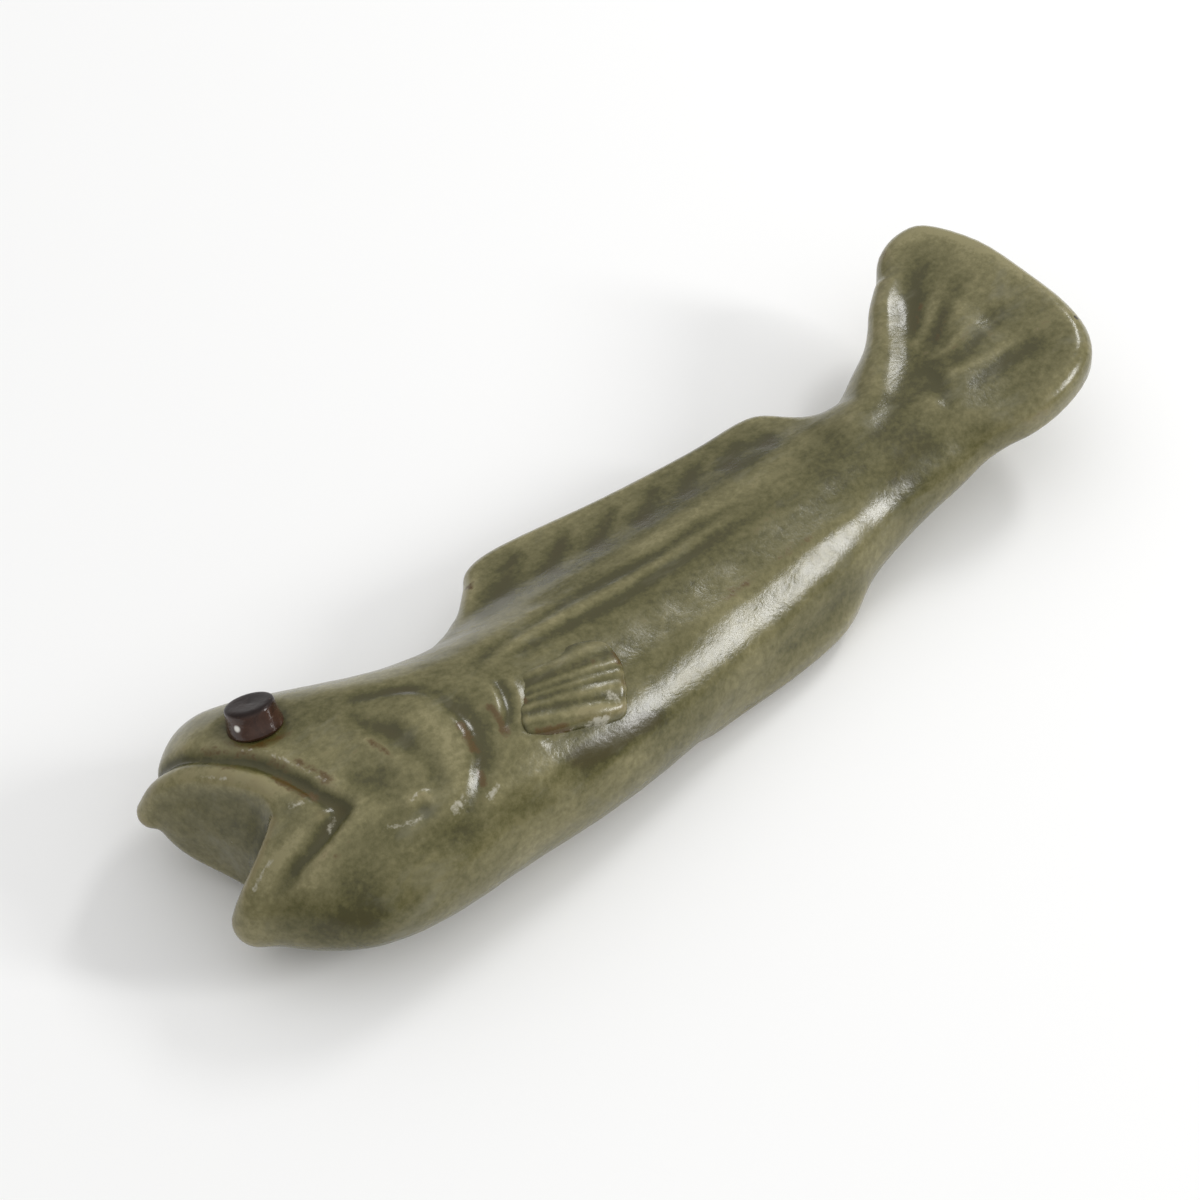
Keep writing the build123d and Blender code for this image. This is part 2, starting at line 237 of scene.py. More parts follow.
class Relief:
    """Heights that are added to the moulded upper side of the fish, and tones of the glaze on it."""

    def __init__(self, grid):
        self.x = grid.x[:, 0, 0]
        self.y = grid.y[0, :, 0]
        self.height = np.zeros((len(self.x), len(self.y)))
        self.tone = np.zeros_like(self.height)

    def near(self, path, reach):
        """The slices of the plan within reach of a path, and its sample points there."""
        low = path.min(axis=0) - reach
        high = path.max(axis=0) + reach
        across = slice(*np.searchsorted(self.x, (low[0], high[0])))
        up = slice(*np.searchsorted(self.y, (low[1], high[1])))
        return (across, up), self.x[across][:, None], self.y[up][None, :]

    def add(self, cuts, shape, height, tone):
        """Add a shape. Hollows hold more glaze, which darkens them, unless a tone is given."""
        self.height[cuts] += height * shape
        self.tone[cuts] += (TONE_OF_HEIGHT * height if tone is None else tone) * shape

    def line(self, points, height, reach, ends=(0.15, 0.15), tone=None, fade=1.0):
        """A ridge, or a groove where the height is negative. Its reach and strength may change along it."""
        path = rounded_path(points)
        first, last = reach if isinstance(reach, tuple) else (reach, reach)
        cuts, px, py = self.near(path, max(first, last))
        distance, share, _ = path_distance(px, py, path)
        shape = hump(distance, first + (last - first) * share) * tapered(share, ends)
        self.add(cuts, shape * (1 + (fade - 1) * share), height, tone)

    def shingle(self, points, rise, run, groove, reach, ends=(0.2, 0.2)):
        """A step on the left of a line, which fades over a run, with a groove on its right."""
        path = rounded_path(points)
        cuts, px, py = self.near(path, 3 * run + 2 * reach)
        distance, share, side = path_distance(px, py, path)
        signed = distance * side
        plate = rise * ease(signed, -SHINGLE_STEP, SHINGLE_STEP) * hump(np.maximum(signed, 0), 3 * run)
        hollow = groove * hump(np.abs(signed + reach * 0.55), reach)
        self.add(cuts, (plate - hollow) * tapered(share, ends), 1.0, TONE_OF_HEIGHT)

    def basin(self, outline, height, slope, tone=None):
        """A recess with a flat floor inside a closed outline, whose sides take up the given slope."""
        path = rounded_path(outline, 4, True)
        cuts, px, py = self.near(path, 1.0)
        self.add(cuts, ease(-outline_distance(px, py, path), -0.3, slope), height, tone)

    def pit(self, place, height, radius, tone=None):
        """A round dimple, or a boss where the height is positive."""
        cuts, px, py = self.near(np.array([place, place]), radius)
        self.add(cuts, hump(np.hypot(px - place[0], py - place[1]), radius), height, tone)

    def soften(self, reach):
        """Round off the heights and the tones, as a thick glaze does."""
        cells = reach / (self.x[1] - self.x[0])
        offsets = np.arange(-math.ceil(3 * cells), math.ceil(3 * cells) + 1)
        kernel = np.exp(-0.5 * (offsets / cells) ** 2)
        kernel /= kernel.sum()
        for axis in (0, 1):
            self.height = np.apply_along_axis(np.convolve, axis, self.height, kernel, mode="same")
            self.tone = np.apply_along_axis(np.convolve, axis, self.tone, kernel, mode="same")

    def tone_at(self, points):
        """The tone at points on the piece, none on its underside."""
        pitch = self.x[1] - self.x[0]
        place = (points[:, :2] - (self.x[0], self.y[0])) / pitch
        base = np.clip(np.floor(place).astype(int), 0, np.array(self.tone.shape) - 2)
        tx, ty = np.clip(place - base, 0, 1).T
        i, j = base.T
        low = self.tone[i, j] * (1 - tx) + self.tone[i + 1, j] * tx
        high = self.tone[i, j + 1] * (1 - tx) + self.tone[i + 1, j + 1] * tx
        return (low * (1 - ty) + high * ty) * ease(points[:, 2], *TONE_FADE)


# Forms of the fish

SLICE_CURVES = [natural_spline(np.array(SLICES)[:, 0], column) for column in np.array(SLICES).T[1:]]


def slice_shape(x):
    """Middle and radii of the oval slice at a station, as (y, z, across, up)."""
    belly, back, underside, crown = (curve(x) for curve in SLICE_CURVES)
    return (belly + back) / 2, (underside + crown) / 2, (back - belly) / 2, (crown - underside) / 2


def flank_field(grid):
    """The fish without its fins."""
    mid_y, mid_z, across, up = slice_shape(grid.x)
    qy = (grid.y - mid_y) / across
    qz = (grid.z - mid_z) / up
    k0 = np.sqrt(qy**2 + qz**2)
    k1 = np.sqrt((qy / across) ** 2 + (qz / up) ** 2)
    field = k0 * (k0 - 1) / np.maximum(k1, 1e-6)
    field = smooth_max(field, NOSE_END - grid.x, NOSE_ROUNDING)
    return smooth_max(field, grid.x - TAIL_STEM_END, TAIL_STEM_ROUNDING).astype(np.float32)


def ripples(grid, wavelength, seed):
    """Soft unevenness between about -1 and 1, as clay has that was pressed by hand."""
    rng = np.random.default_rng(seed)
    total = 0
    for _ in range(7):
        way = rng.normal(size=3)
        way *= 2 * np.pi / (wavelength * rng.uniform(0.75, 1.4) * np.linalg.norm(way))
        phase = grid.x * float(way[0]) + grid.y * float(way[1]) + grid.z * float(way[2])
        total = total + np.sin(phase + float(rng.uniform(0, 2 * np.pi)))
    return total / 3.5


def plate_field(u, v, w, outline, thickness, rounding, lift):
    """A flat plate with rounded rims: an outline in u and v, its thickness along w, its faces lifted."""
    aside = outline_distance(u, v, outline) + rounding
    above = np.abs(w) - thickness / 2 + rounding - lift
    outside = np.hypot(np.maximum(aside, 0), np.maximum(above, 0))
    return np.minimum(np.maximum(aside, above), 0) + outside - rounding


# Back fin: its plane leans down from the back
BACK_FIN_ORIGIN = (4.0, 6.0)
BACK_FIN_LEAN = math.radians(14.0)
BACK_FIN_THICKNESS = 3.2
BACK_FIN_ROUNDING = 1.3
BACK_FIN_BLEND = 1.8
BACK_FIN_OUTLINE = (
    (-13.9, -2.3), (-12.3, -0.1), (-10.5, 1.2), (-8.5, 3.2), (-6.9, 4.8), (-3.4, 5.1), (5.3, 3.6),
    (13.5, 2.7), (18.5, 2.6), (20.6, 1.9), (22.0, 0.0), (23.2, -2.0), (24.6, -3.8), (20.0, -5.0),
    (4.0, -5.0), (-9.0, -5.0),
)
BACK_FIN_REACH = ((-15.0, -3.0, 0.0), (29.0, 12.0, 11.0))

# Belly fin
BELLY_FIN_HEIGHT = 2.4
BELLY_FIN_THICKNESS = 3.6
BELLY_FIN_ROUNDING = 1.5
BELLY_FIN_BLEND = 1.5
BELLY_FIN_OUTLINE = (
    (-3.0, -8.0), (-1.5, -12.0), (2.5, -12.6), (8.0, -12.7), (12.8, -12.2), (15.5, -11.2),
    (17.2, -9.8), (18.5, -8.0), (10.0, -6.0), (0.0, -6.0),
)
BELLY_FIN_REACH = ((-9.0, -16.0, -1.0), (21.0, -4.0, 7.0))

# Tail fan: its plane climbs away from the table
FAN_ORIGIN = (28.4, 0.7, 7.25)
FAN_CLIMB = math.radians(9.0)
FAN_THICKNESS = 3.8
FAN_ROUNDING = 1.6
FAN_BLEND = 2.0
FAN_OUTLINE = (
    (-1.0, 1.4), (2.5, 3.8), (5.3, 6.5), (7.9, 8.4), (10.0, 10.3), (12.6, 11.0), (15.1, 10.0),
    (17.0, 5.5), (17.3, 0.2), (17.1, -4.4), (16.0, -7.8), (13.6, -9.9), (9.4, -10.8), (5.2, -10.3),
    (2.0, -8.0), (-1.0, -3.0),
)
FAN_REACH = ((22.0, -14.0, 2.0), (47.0, 14.0, 15.0))


def back_fin_axes(grid):
    c, s = math.cos(BACK_FIN_LEAN), math.sin(BACK_FIN_LEAN)
    y = grid.y - BACK_FIN_ORIGIN[0]
    z = grid.z - BACK_FIN_ORIGIN[1]
    return grid.x, y * c - z * s, y * s + z * c


def fan_axes(grid):
    c, s = math.cos(FAN_CLIMB), math.sin(FAN_CLIMB)
    x = grid.x - FAN_ORIGIN[0]
    z = grid.z - FAN_ORIGIN[2]
    return x * c + z * s, grid.y - FAN_ORIGIN[1], -x * s + z * c


def belly_fin_axes(grid):
    return grid.x, grid.y, grid.z - BELLY_FIN_HEIGHT


BACK_FIN = (BACK_FIN_REACH, back_fin_axes, BACK_FIN_OUTLINE, BACK_FIN_THICKNESS)
BELLY_FIN = (BELLY_FIN_REACH, belly_fin_axes, BELLY_FIN_OUTLINE, BELLY_FIN_THICKNESS)
FAN = (FAN_REACH, fan_axes, FAN_OUTLINE, FAN_THICKNESS)


# Details of the upper side, in plan

LIP_GROOVE = (
    (-37.6, 8.6), (-36.2, 7.2), (-34.9, 5.8), (-33.5, 3.1), (-31.7, 0.4), (-30.5, -2.5), (-29.6, -5.4),
    (-29.0, -7.1), (-30.2, -7.7), (-31.7, -8.0), (-33.8, -8.1), (-35.4, -8.1), (-37.0, -7.8),
)
LIP_POCKET = (-29.1, -6.9)
CHIN_GROOVE = ((-37.1, -7.8), (-35.2, -10.3), (-32.6, -12.4), (-30.4, -13.8))
CHIN_HOLLOW = (-31.5, -11.6)
EYE_PLACE = (-29.8, 3.1)

# Gill cover: the plate's edge, the thin line above it and the recess behind the cheek
GILL_EDGE = (
    (-22.4, -0.9), (-21.0, -1.8), (-20.0, -3.0), (-19.5, -4.4), (-19.3, -6.0), (-19.3, -7.2),
    (-19.6, -8.3), (-20.1, -9.3), (-21.1, -10.4), (-22.3, -11.3), (-24.0, -11.8), (-25.4, -11.5),
    (-26.8, -10.9), (-28.4, -10.4),
)
GILL_LINE = ((-24.2, 0.5), (-23.3, 0.0), (-21.9, -0.9), (-20.5, -1.6), (-19.2, -2.8))
GILL_FOLD = ((-23.4, -13.1), (-21.4, -12.3), (-20.0, -11.3), (-18.8, -10.0))
RECESS = (
    (-24.7, -0.9), (-23.6, -2.0), (-22.7, -3.3), (-22.2, -4.7), (-22.2, -6.0), (-23.0, -7.2),
    (-23.7, -6.9), (-24.3, -5.3), (-25.0, -3.3), (-25.2, -1.9),
)
RECESS_EDGE = ((-25.6, -2.6), (-25.3, -3.9), (-24.9, -5.3), (-24.4, -6.8), (-23.9, -7.7))
RECESS_TRAIL = ((-22.8, -6.6), (-23.0, -8.5), (-24.0, -10.2))
CHEEK_HOLLOW = ((-28.6, -4.8), (-27.0, -6.6), (-25.2, -7.8))
CRATER = (-25.2, -10.4)
CRATER_RIM = ((-26.2, -9.8), (-25.6, -9.2), (-24.7, -9.5), (-24.2, -10.4))

# Folds along the flank
UPPER_FOLD = (
    (-16.4, -3.2), (-13.0, -2.4), (-10.3, -2.1), (-7.8, -1.9), (-5.3, -1.6), (-1.5, -1.8), (2.5, -2.0),
    (8.1, -1.8), (11.5, -2.4), (15.0, -2.9),
)
LOWER_FOLD = (
    (-14.0, -4.5), (-12.2, -3.9), (-10.3, -4.0), (-7.6, -3.9), (-2.5, -4.1), (2.0, -3.9), (7.7, -3.7),
    (11.5, -3.9), (16.0, -4.6),
)
FOLD_RIDGE = ((-14.6, -3.7), (-11.2, -2.9), (-8.3, -2.8), (-3.0, -2.9), (4.0, -2.9), (9.0, -2.8))
BELLY_FOLD = (
    (-27.0, -12.6), (-25.4, -12.7), (-20.8, -13.0), (-17.1, -13.2), (-12.6, -13.4), (-8.5, -13.6),
)
BACK_RIDGE = ((-2.0, -0.2), (3.9, -0.7), (12.2, -0.7), (17.0, -0.4), (21.6, 0.2))
FLANK_CREASE = ((-2.0, -9.2), (4.0, -8.9), (9.5, -8.4), (14.6, -8.0), (20.5, -7.9))

# Knuckle in front of the pectoral fin
KNUCKLE_LINES = (
    ((-15.6, -4.6), (-16.0, -6.4), (-16.8, -7.9), (-17.8, -8.8)),
    ((-14.0, -5.1), (-14.5, -7.0), (-15.3, -8.4), (-16.6, -9.5)),
)
FIN_FOOT = ((-17.2, -9.9), (-15.9, -10.3), (-14.7, -10.9))
KNUCKLE_GROOVE = ((-14.8, -4.9), (-15.2, -6.7), (-16.0, -8.1), (-17.2, -9.1))

# Back fin: the trough along its foot, and the foot and top of each pool of glaze between its folds
FIN_TROUGH = (
    (-11.9, 1.2), (-9.7, 2.4), (-6.7, 2.7), (-3.3, 2.1), (0.5, 1.7), (4.5, 1.4), (8.5, 1.3),
    (12.7, 1.5), (16.5, 1.5), (20.1, 0.9),
)
FIN_POOLS = (
    ((-8.5, 3.2), (-2.8, 7.4)), ((-4.3, 2.5), (1.5, 6.6)), ((-0.1, 2.1), (5.3, 5.8)),
    ((4.1, 1.7), (9.2, 5.3)), ((8.5, 1.7), (13.1, 5.1)), ((13.0, 1.9), (17.2, 4.6)),
    ((16.9, 1.8), (19.6, 3.3)),
)

# Tail: grooves and ribs of the fan, a swell of the stem, the raised rim, the dish behind it,
# and the arc and the pale patch at the root
TAIL_GROOVES = (
    ((33.4, 2.3), (35.2, 4.0), (37.1, 5.7), (38.8, 6.9), (40.6, 7.9)),
    ((33.6, 0.3), (35.2, 1.2), (36.8, 2.1), (39.4, 3.4), (42.2, 4.1)),
    ((33.0, -2.6), (35.5, -2.1), (38.1, -1.6), (40.0, -1.2), (42.4, -0.7)),
    ((32.5, -5.2), (35.8, -4.9), (39.0, -5.1), (41.9, -5.6)),
)
TAIL_RIBS = (
    ((32.4, 1.0), (33.3, 1.5), (35.2, 2.3), (36.7, 3.4), (38.9, 4.7)),
    ((32.4, -0.4), (34.0, -0.9), (36.9, -0.3), (39.4, 0.6)),
    ((31.5, -2.9), (34.5, -3.5), (37.7, -3.7), (41.0, -3.8)),
)
STEM_SWELL = (26.4, -7.2)
TAIL_RIM = (
    (20.6, -2.2), (23.4, -1.2), (25.6, -0.2), (27.3, 0.9), (29.8, 2.7), (32.1, 5.1), (34.2, 7.5),
    (35.9, 9.4),
)
TAIL_DISH = (
    (25.0, -4.4), (27.0, -3.5), (29.4, -2.2), (32.3, 0.1), (34.8, 2.8), (36.9, 5.2), (38.6, 7.1),
)
TAIL_ARC = ((32.0, 0.4), (31.6, -1.6), (31.0, -3.2), (30.3, -4.8), (29.4, -6.2))
TAIL_PATCH = (28.9, -4.0)


# How far paint spreads past its reach, and the shares of a line over which it fades at both ends
PAINT_SPREAD = 1.6
PAINT_ENDS = (0.22, 0.22)

# Where the glaze runs thin and breaks to iron brown: points in plan, reach and strength
IRON_LINES = (
    (((-34.3, 5.2), (-33.2, 3.2), (-31.9, 1.2), (-30.8, -1.2), (-30.0, -3.4)), 0.45, 0.55),
    (((-32.0, -1.0), (-31.5, -2.6), (-31.0, -4.0), (-30.3, -5.6)), 0.5, 0.85),
    (((-30.1, -1.0), (-29.6, -2.8), (-29.2, -4.2), (-28.9, -5.6)), 0.45, 0.75),
    (((-34.6, 3.6), (-33.4, 1.4), (-32.4, -0.6)), 0.4, 0.45),
    (((-30.1, -8.9), (-31.2, -9.2), (-32.4, -9.1)), 0.35, 0.7),
    (((-25.2, -3.6), (-24.9, -5.1), (-24.5, -6.6)), 0.35, 0.7),
    (((-27.9, 1.0), (-29.2, 0.6), (-31.0, 1.2), (-32.1, 2.6), (-32.2, 4.0)), 0.45, 0.75),
    (((-19.4, -6.2), (-19.5, -7.5), (-19.6, -8.3), (-19.9, -9.6)), 0.5, 1.1),
    (((-20.2, -10.0), (-20.5, -10.6), (-20.9, -11.2)), 0.4, 0.9),
    (((-16.8, -6.4), (-16.9, -8.0), (-17.3, -9.6)), 0.45, 1.1),
    (((-8.6, 6.2), (-7.9, 7.0)), 0.4, 0.6),
    (((2.0, -8.4), (6.0, -8.2), (11.0, -7.8), (15.0, -7.5)), 0.4, 0.5),
    (((33.8, 2.4), (35.4, 3.6), (37.2, 4.8)), 0.35, 0.5),
    (((33.6, 0.2), (35.2, 0.9), (37.4, 1.9)), 0.35, 0.5),
    (((33.6, -1.6), (35.6, -1.0), (38.0, -0.3)), 0.35, 0.45),
    (((36.2, 9.3), (37.6, 10.3), (39.0, 11.0)), 0.6, 0.4),
    (((45.0, 2.0), (45.2, -1.0), (44.9, -4.0)), 0.6, 0.45),
)
# Painted highlights: white specks and lines along edges that catch the light
PAINTED_HIGHLIGHT_LINES = (
    (((-33.2, 3.1), (-31.4, 1.1), (-30.6, -0.7), (-30.0, -2.6), (-29.3, -4.5), (-28.8, -6.2)), 0.25, 0.7),
    (((-35.4, 2.9), (-34.6, 1.5), (-33.8, 0.0)), 0.16, 0.8),
    (((-32.6, -4.1), (-31.9, -4.7), (-30.9, -5.1)), 0.35, 0.8),
    (((-33.5, -3.7), (-34.6, -4.5), (-35.8, -5.0)), 0.22, 0.7),
    (((-34.7, -6.2), (-35.9, -6.2), (-37.7, -6.6)), 0.28, 0.8),
    (((-31.6, -7.5), (-30.7, -7.2), (-30.1, -6.7)), 0.3, 0.8),
    (((-25.9, -9.7), (-25.4, -9.3), (-24.4, -9.3), (-24.1, -10.2)), 0.25, 0.9),
    (((-29.3, -9.5), (-27.8, -9.8), (-26.9, -10.3), (-25.7, -10.5), (-24.6, -10.8)), 0.3, 0.75),
    (((-24.2, -11.5), (-23.1, -11.3), (-22.1, -10.9)), 0.45, 0.85),
    (((-21.2, -11.8), (-20.3, -11.7), (-19.4, -11.6)), 0.4, 0.8),
)
# The same two on the pectoral fin: painted highlights and iron brown
FIN_PAINTED_HIGHLIGHT_LINES = (
    (((-16.2, -10.1), (-14.4, -10.8), (-11.8, -11.4), (-9.1, -11.7)), 0.22, 0.95),
    (((-9.4, -10.2), (-8.8, -11.0), (-8.4, -11.6)), 0.65, 0.85),
)
FIN_IRON_LINES = (
    (((-15.9, -10.0), (-15.2, -10.2), (-14.4, -10.5), (-13.4, -10.8), (-12.4, -11.0)), 0.4, 1.0),
    (((-6.3, -7.6), (-6.6, -8.8), (-6.9, -9.4)), 0.5, 0.9),
    (((-7.3, -10.0), (-7.5, -10.6)), 0.4, 0.8),
    (((-14.7, -7.9), (-14.2, -7.8)), 0.4, 0.8),
    (((-13.5, -6.1), (-13.0, -6.1)), 0.35, 0.6),
    (((-8.6, -7.9), (-8.0, -8.0)), 0.3, 0.7),
)


def painted(points, lines):
    """How strongly each point is covered by lines that are drawn in plan."""
    paint = np.zeros(len(points))
    for line, reach, strength in lines:
        distance, share, _ = path_distance(points[:, 0], points[:, 1], rounded_path(line, 5))
        stroke = hump(distance, PAINT_SPREAD * reach) * tapered(share, PAINT_ENDS)
        paint = np.maximum(paint, strength * stroke)
    return paint


# How far the glaze rounds off the relief
GLAZE_SOFTENING = 0.2

# Patches painted paler or darker than the form asks for, painted shade among them: points in plan, reach and
# tone
PATCH_ENDS = (0.25, 0.25)
GLAZE_PATCHES = (
    (
        (
            (-38.2, 7.2), (-36.6, 6.0), (-35.5, 4.4), (-34.2, 2.2), (-32.9, -0.4), (-31.9, -2.8),
            (-31.2, -4.8),
        ),
        1.5, 0.5,
    ),
    (((-31.3, -6.1), (-32.9, -6.6), (-34.5, -6.8), (-36.0, -6.9), (-37.2, -7.0)), 1.6, 0.5),
    (((-26.0, 3.4), (-21.0, 2.2), (-16.0, 1.4)), 2.4, 0.4),
    (((-27.6, 0.4), (-27.2, -2.0), (-26.6, -4.0)), 1.4, 0.25),
    (((-21.6, -3.4), (-20.9, -5.4), (-21.0, -7.6), (-22.0, -9.4)), 1.2, 0.3),
    (((-12.6, 2.4), (-10.6, 4.0), (-9.0, 6.0), (-6.6, 8.6)), 1.3, 0.4),
    (((-18.0, -13.4), (-12.0, -13.8), (-6.0, -13.4)), 1.3, 0.4),
    (((-17.5, -11.2), (-15.8, -11.7), (-14.6, -12.0)), 0.9, 0.2),
    # Painted shade below the pectoral fin's lower edge
    (((-15.8, -11.8), (-12.5, -12.4), (-9.5, -12.5), (-5.0, -12.3)), 1.7, -0.6),
    (((-36.8, -9.2), (-34.8, -11.6), (-31.4, -13.6), (-28.0, -14.2)), 1.6, -0.22),
    (((16.0, -5.4), (22.0, -4.6), (27.5, -3.2)), 3.2, -0.3),
    # Painted shade on the lower stem, where the window's highlight is to fade
    (((19.5, -8.2), (23.0, -7.4), (28.5, -6.0)), 3.0, -0.45),
    (((5.0, -12.2), (12.0, -12.0), (17.0, -10.0)), 1.8, -0.35),
    (((-4.0, -5.6), (4.0, -5.4), (12.0, -5.4)), 1.6, -0.2),
    (
        (
            (36.5, 10.0), (40.0, 10.6), (43.5, 8.2), (45.0, 4.0), (45.6, 0.0), (45.0, -4.0),
            (42.6, -8.2),
        ),
        2.0, 0.6,
    ),
    # More painted shade below the pectoral fin, which dims the flank there
    (((-15.6, -12.2), (-9.0, -12.9), (-3.0, -12.2)), 0.8, -0.35),
)


def draw_relief(grid):
    """Each detail with its height, its reach, how it fades at both ends, and its tone."""
    relief = Relief(grid)
    relief.shingle(LIP_GROOVE, 0.2, 1.2, 0.42, 1.0, (0.02, 0.1))
    relief.pit(LIP_POCKET, -0.06, 1.3)
    relief.line(CHIN_GROOVE, -0.22, 1.4, (0.2, 0.3), -0.3)
    relief.pit(CHIN_HOLLOW, -0.18, 2.4, -0.2)
    relief.pit(EYE_PLACE, -0.4, 3.4, -0.2)
    # Painted shade: a dark ring around the foot of the eye stud
    relief.pit(EYE_PLACE, -0.1, 3.0, -1.0)
    relief.line(GILL_LINE, -0.14, 0.9, (0.1, 0.2), -0.55)
    relief.shingle(GILL_EDGE[::-1], 0.17, 2.0, 0.24, 1.4, (0.45, 0.3))
    relief.line(GILL_EDGE, 0.0, 1.0, (0.1, 0.5), -0.3)
    relief.line(GILL_FOLD, 0.06, 1.2, (0.3, 0.3), 0.3)
    relief.basin(RECESS, -0.28, 1.2, -0.65)
    relief.line(RECESS_EDGE, 0.1, 0.7, (0.25, 0.25), 0.35)
    relief.line(RECESS_TRAIL, -0.16, 1.1, (0.3, 0.3), -0.3)
    relief.line(CHEEK_HOLLOW, -0.2, 2.0, (0.3, 0.3), -0.32)
    relief.pit(CRATER, -0.3, 0.7)
    relief.line(CRATER_RIM, 0.25, 0.55, (0.3, 0.3))
    relief.line(UPPER_FOLD, -0.11, 1.0, (0.08, 0.3), -0.55)
    relief.line(LOWER_FOLD, -0.11, 1.0, (0.1, 0.25), -0.5)
    relief.line(FOLD_RIDGE, 0.07, 0.9, (0.2, 0.3), 0.45)
    relief.line(BELLY_FOLD, -0.16, 1.2, (0.5, 0.3), -0.4)
    relief.line(BACK_RIDGE, 0.06, 1.6, (0.2, 0.2), 0.35)
    relief.line(FLANK_CREASE, 0.1, 1.3, (0.25, 0.2), 0.1)
    relief.line(KNUCKLE_GROOVE, -0.16, 0.7, (0.2, 0.2), -0.5)
    for points in KNUCKLE_LINES:
        relief.line(points, 0.1, 0.55, (0.2, 0.3), 0.35)
    relief.line(FIN_FOOT, 0.13, 0.9, (0.3, 0.3), 0.1)
    relief.line(FIN_TROUGH, 0.0, 1.5, (0.1, 0.1), -0.4)
    for foot, top in FIN_POOLS:
        relief.line((foot, top), -0.03, (1.9, 0.9), (0.15, 0.2), -0.6)
    for points in TAIL_GROOVES:
        relief.line(points, -0.05, (0.75, 1.5), (0.1, 0.3), -0.5)
    for points in TAIL_RIBS:
        relief.line(points, 0.05, (0.5, 0.8), (0.1, 0.4), 0.55)
    relief.line(TAIL_RIM, 0.75, 3.2, (0.15, 0.05), 0.1, 0.55)
    relief.line(TAIL_DISH, -0.6, 3.4, (0.5, 0.2), -0.1, 0.75)
    relief.pit(STEM_SWELL, 0.3, 8.0, 0.0)
    relief.line(TAIL_ARC, -0.1, 1.1, (0.5, 0.3), -0.35)
    relief.pit(TAIL_PATCH, 0.15, 2.0, 0.3)
    relief.soften(GLAZE_SOFTENING)
    for points, reach, tone in GLAZE_PATCHES:
        relief.line(points, 0.0, reach, PATCH_ENDS, tone)
    return relief


# Mouth, carved from above: the floor's height in plan, out of reach outside the gape

GAPE_UPPER = (
    (-41.0, 8.6), (-38.6, 6.5), (-37.3, 5.2), (-36.3, 3.8), (-35.0, 1.8), (-33.9, -0.2), (-33.1, -2.2),
    (-33.2, -3.7),
)
GAPE_LOWER = ((-33.2, -3.7), (-34.4, -4.5), (-35.8, -5.1), (-37.4, -5.5), (-41.0, -6.4))
MOUTH_FLOOR = 5.0
MOUTH_CLIMB = 0.12
MOUTH_MIDDLE = -3.0
MOUTH_EASE = 0.6
MOUTH_BLEND = 0.7
RIM_CLIMB = 2.0
UPPER_WALL = 4.6
LOWER_WALL = 2.2
NOTCH = (
    (-42.0, 7.4), (-38.9, 6.6), (-38.4, 4.8), (-37.4, 2.7), (-36.3, 1.0), (-35.4, -0.7), (-34.9, -2.8),
    (-36.0, -4.5), (-38.4, -5.9), (-42.0, -7.4),
)
NOTCH_BLEND = 0.9
MOUTH_REACH = ((-42.0, -10.0, -1.0), (-30.0, 11.0, 15.0))


def mouth_floor(px, py):
    """The carved floor falls away from both lips, steeply at first, like a spoon."""
    upper = rounded_path(GAPE_UPPER)
    lower = rounded_path(GAPE_LOWER)
    gape = outline_distance(px, py, np.vstack([upper, lower[1:]]))
    from_upper, _, _ = path_distance(px, py, upper)
    from_lower, _, _ = path_distance(px, py, lower)
    wall = np.maximum(1 - from_upper / UPPER_WALL, 1 - from_lower / LOWER_WALL)
    wall = np.clip(wall, 0, 1) ** 2
    mid_y, mid_z, across, up = slice_shape(px)
    crown = mid_z + up * np.sqrt(np.clip(1 - ((py - mid_y) / across) ** 2, 0, 1))
    floor = np.minimum(MOUTH_FLOOR + MOUTH_CLIMB * (py - MOUTH_MIDDLE), crown)
    return np.where(gape < 0, floor + (crown - floor) * wall, crown + RIM_CLIMB * gape)


# Rolled lips: points along each, as (x, y, z), and the radius at its ends

UPPER_LIP_ROLL = (
    (-37.6, 5.5, 5.5), (-36.7, 5.1, 7.3), (-35.4, 3.9, 9.0), (-34.2, 2.0, 10.2), (-33.0, -0.3, 11.0),
    (-32.1, -2.6, 11.4), (-31.4, -4.6, 11.4),
)
UPPER_LIP_RADII = (1.2, 0.75)
UPPER_LIP_BLEND = 0.6
JAW_ROLL = (
    (-31.2, -6.0, 10.6), (-32.6, -6.3, 9.9), (-34.2, -6.4, 8.8), (-35.6, -6.4, 7.4),
    (-36.6, -6.5, 6.2), (-37.1, -6.6, 5.2),
)
JAW_RADII = (1.2, 1.8)
JAW_BLEND = 0.8


def add_roll(field, grid, points, radii, blend):
    """Join a round bar that follows the points to the field."""
    path = rounded_path(points, 4)
    reach = max(radii) + 2 * blend
    cuts, part = grid.window(path.min(axis=0) - reach, path.max(axis=0) + reach)
    bar = np.full(np.broadcast(part.x, part.y, part.z).shape, 1e3, np.float32)
    for i, (a, b) in enumerate(zip(path, path[1:])):
        run = b - a
        along = (part.x - a[0]) * run[0] + (part.y - a[1]) * run[1] + (part.z - a[2]) * run[2]
        along = np.clip(along / (run @ run), 0, 1)
        away = np.sqrt(
            (part.x - a[0] - along * run[0]) ** 2
            + (part.y - a[1] - along * run[1]) ** 2
            + (part.z - a[2] - along * run[2]) ** 2
        )
        radius = radii[0] + (radii[1] - radii[0]) * (i + along) / (len(path) - 1)
        bar = np.minimum(bar, away - radius)
    field[cuts] = smooth_min(field[cuts], bar, blend)


def add_plate(field, grid, relief, reach, axes, outline, thickness, rounding, blend):
    """Join a plate to the field with a soft fillet, with the relief on its upper face."""
    cuts, part = grid.window(*reach)
    u, v, w = axes(part)
    lift = relief[cuts[:2]] * ease(w, *FIN_RELIEF_FADE)
    plate = plate_field(u, v, w, rounded_path(outline, 4, True), thickness, rounding, lift)
    field[cuts] = smooth_min(field[cuts], plate, blend)


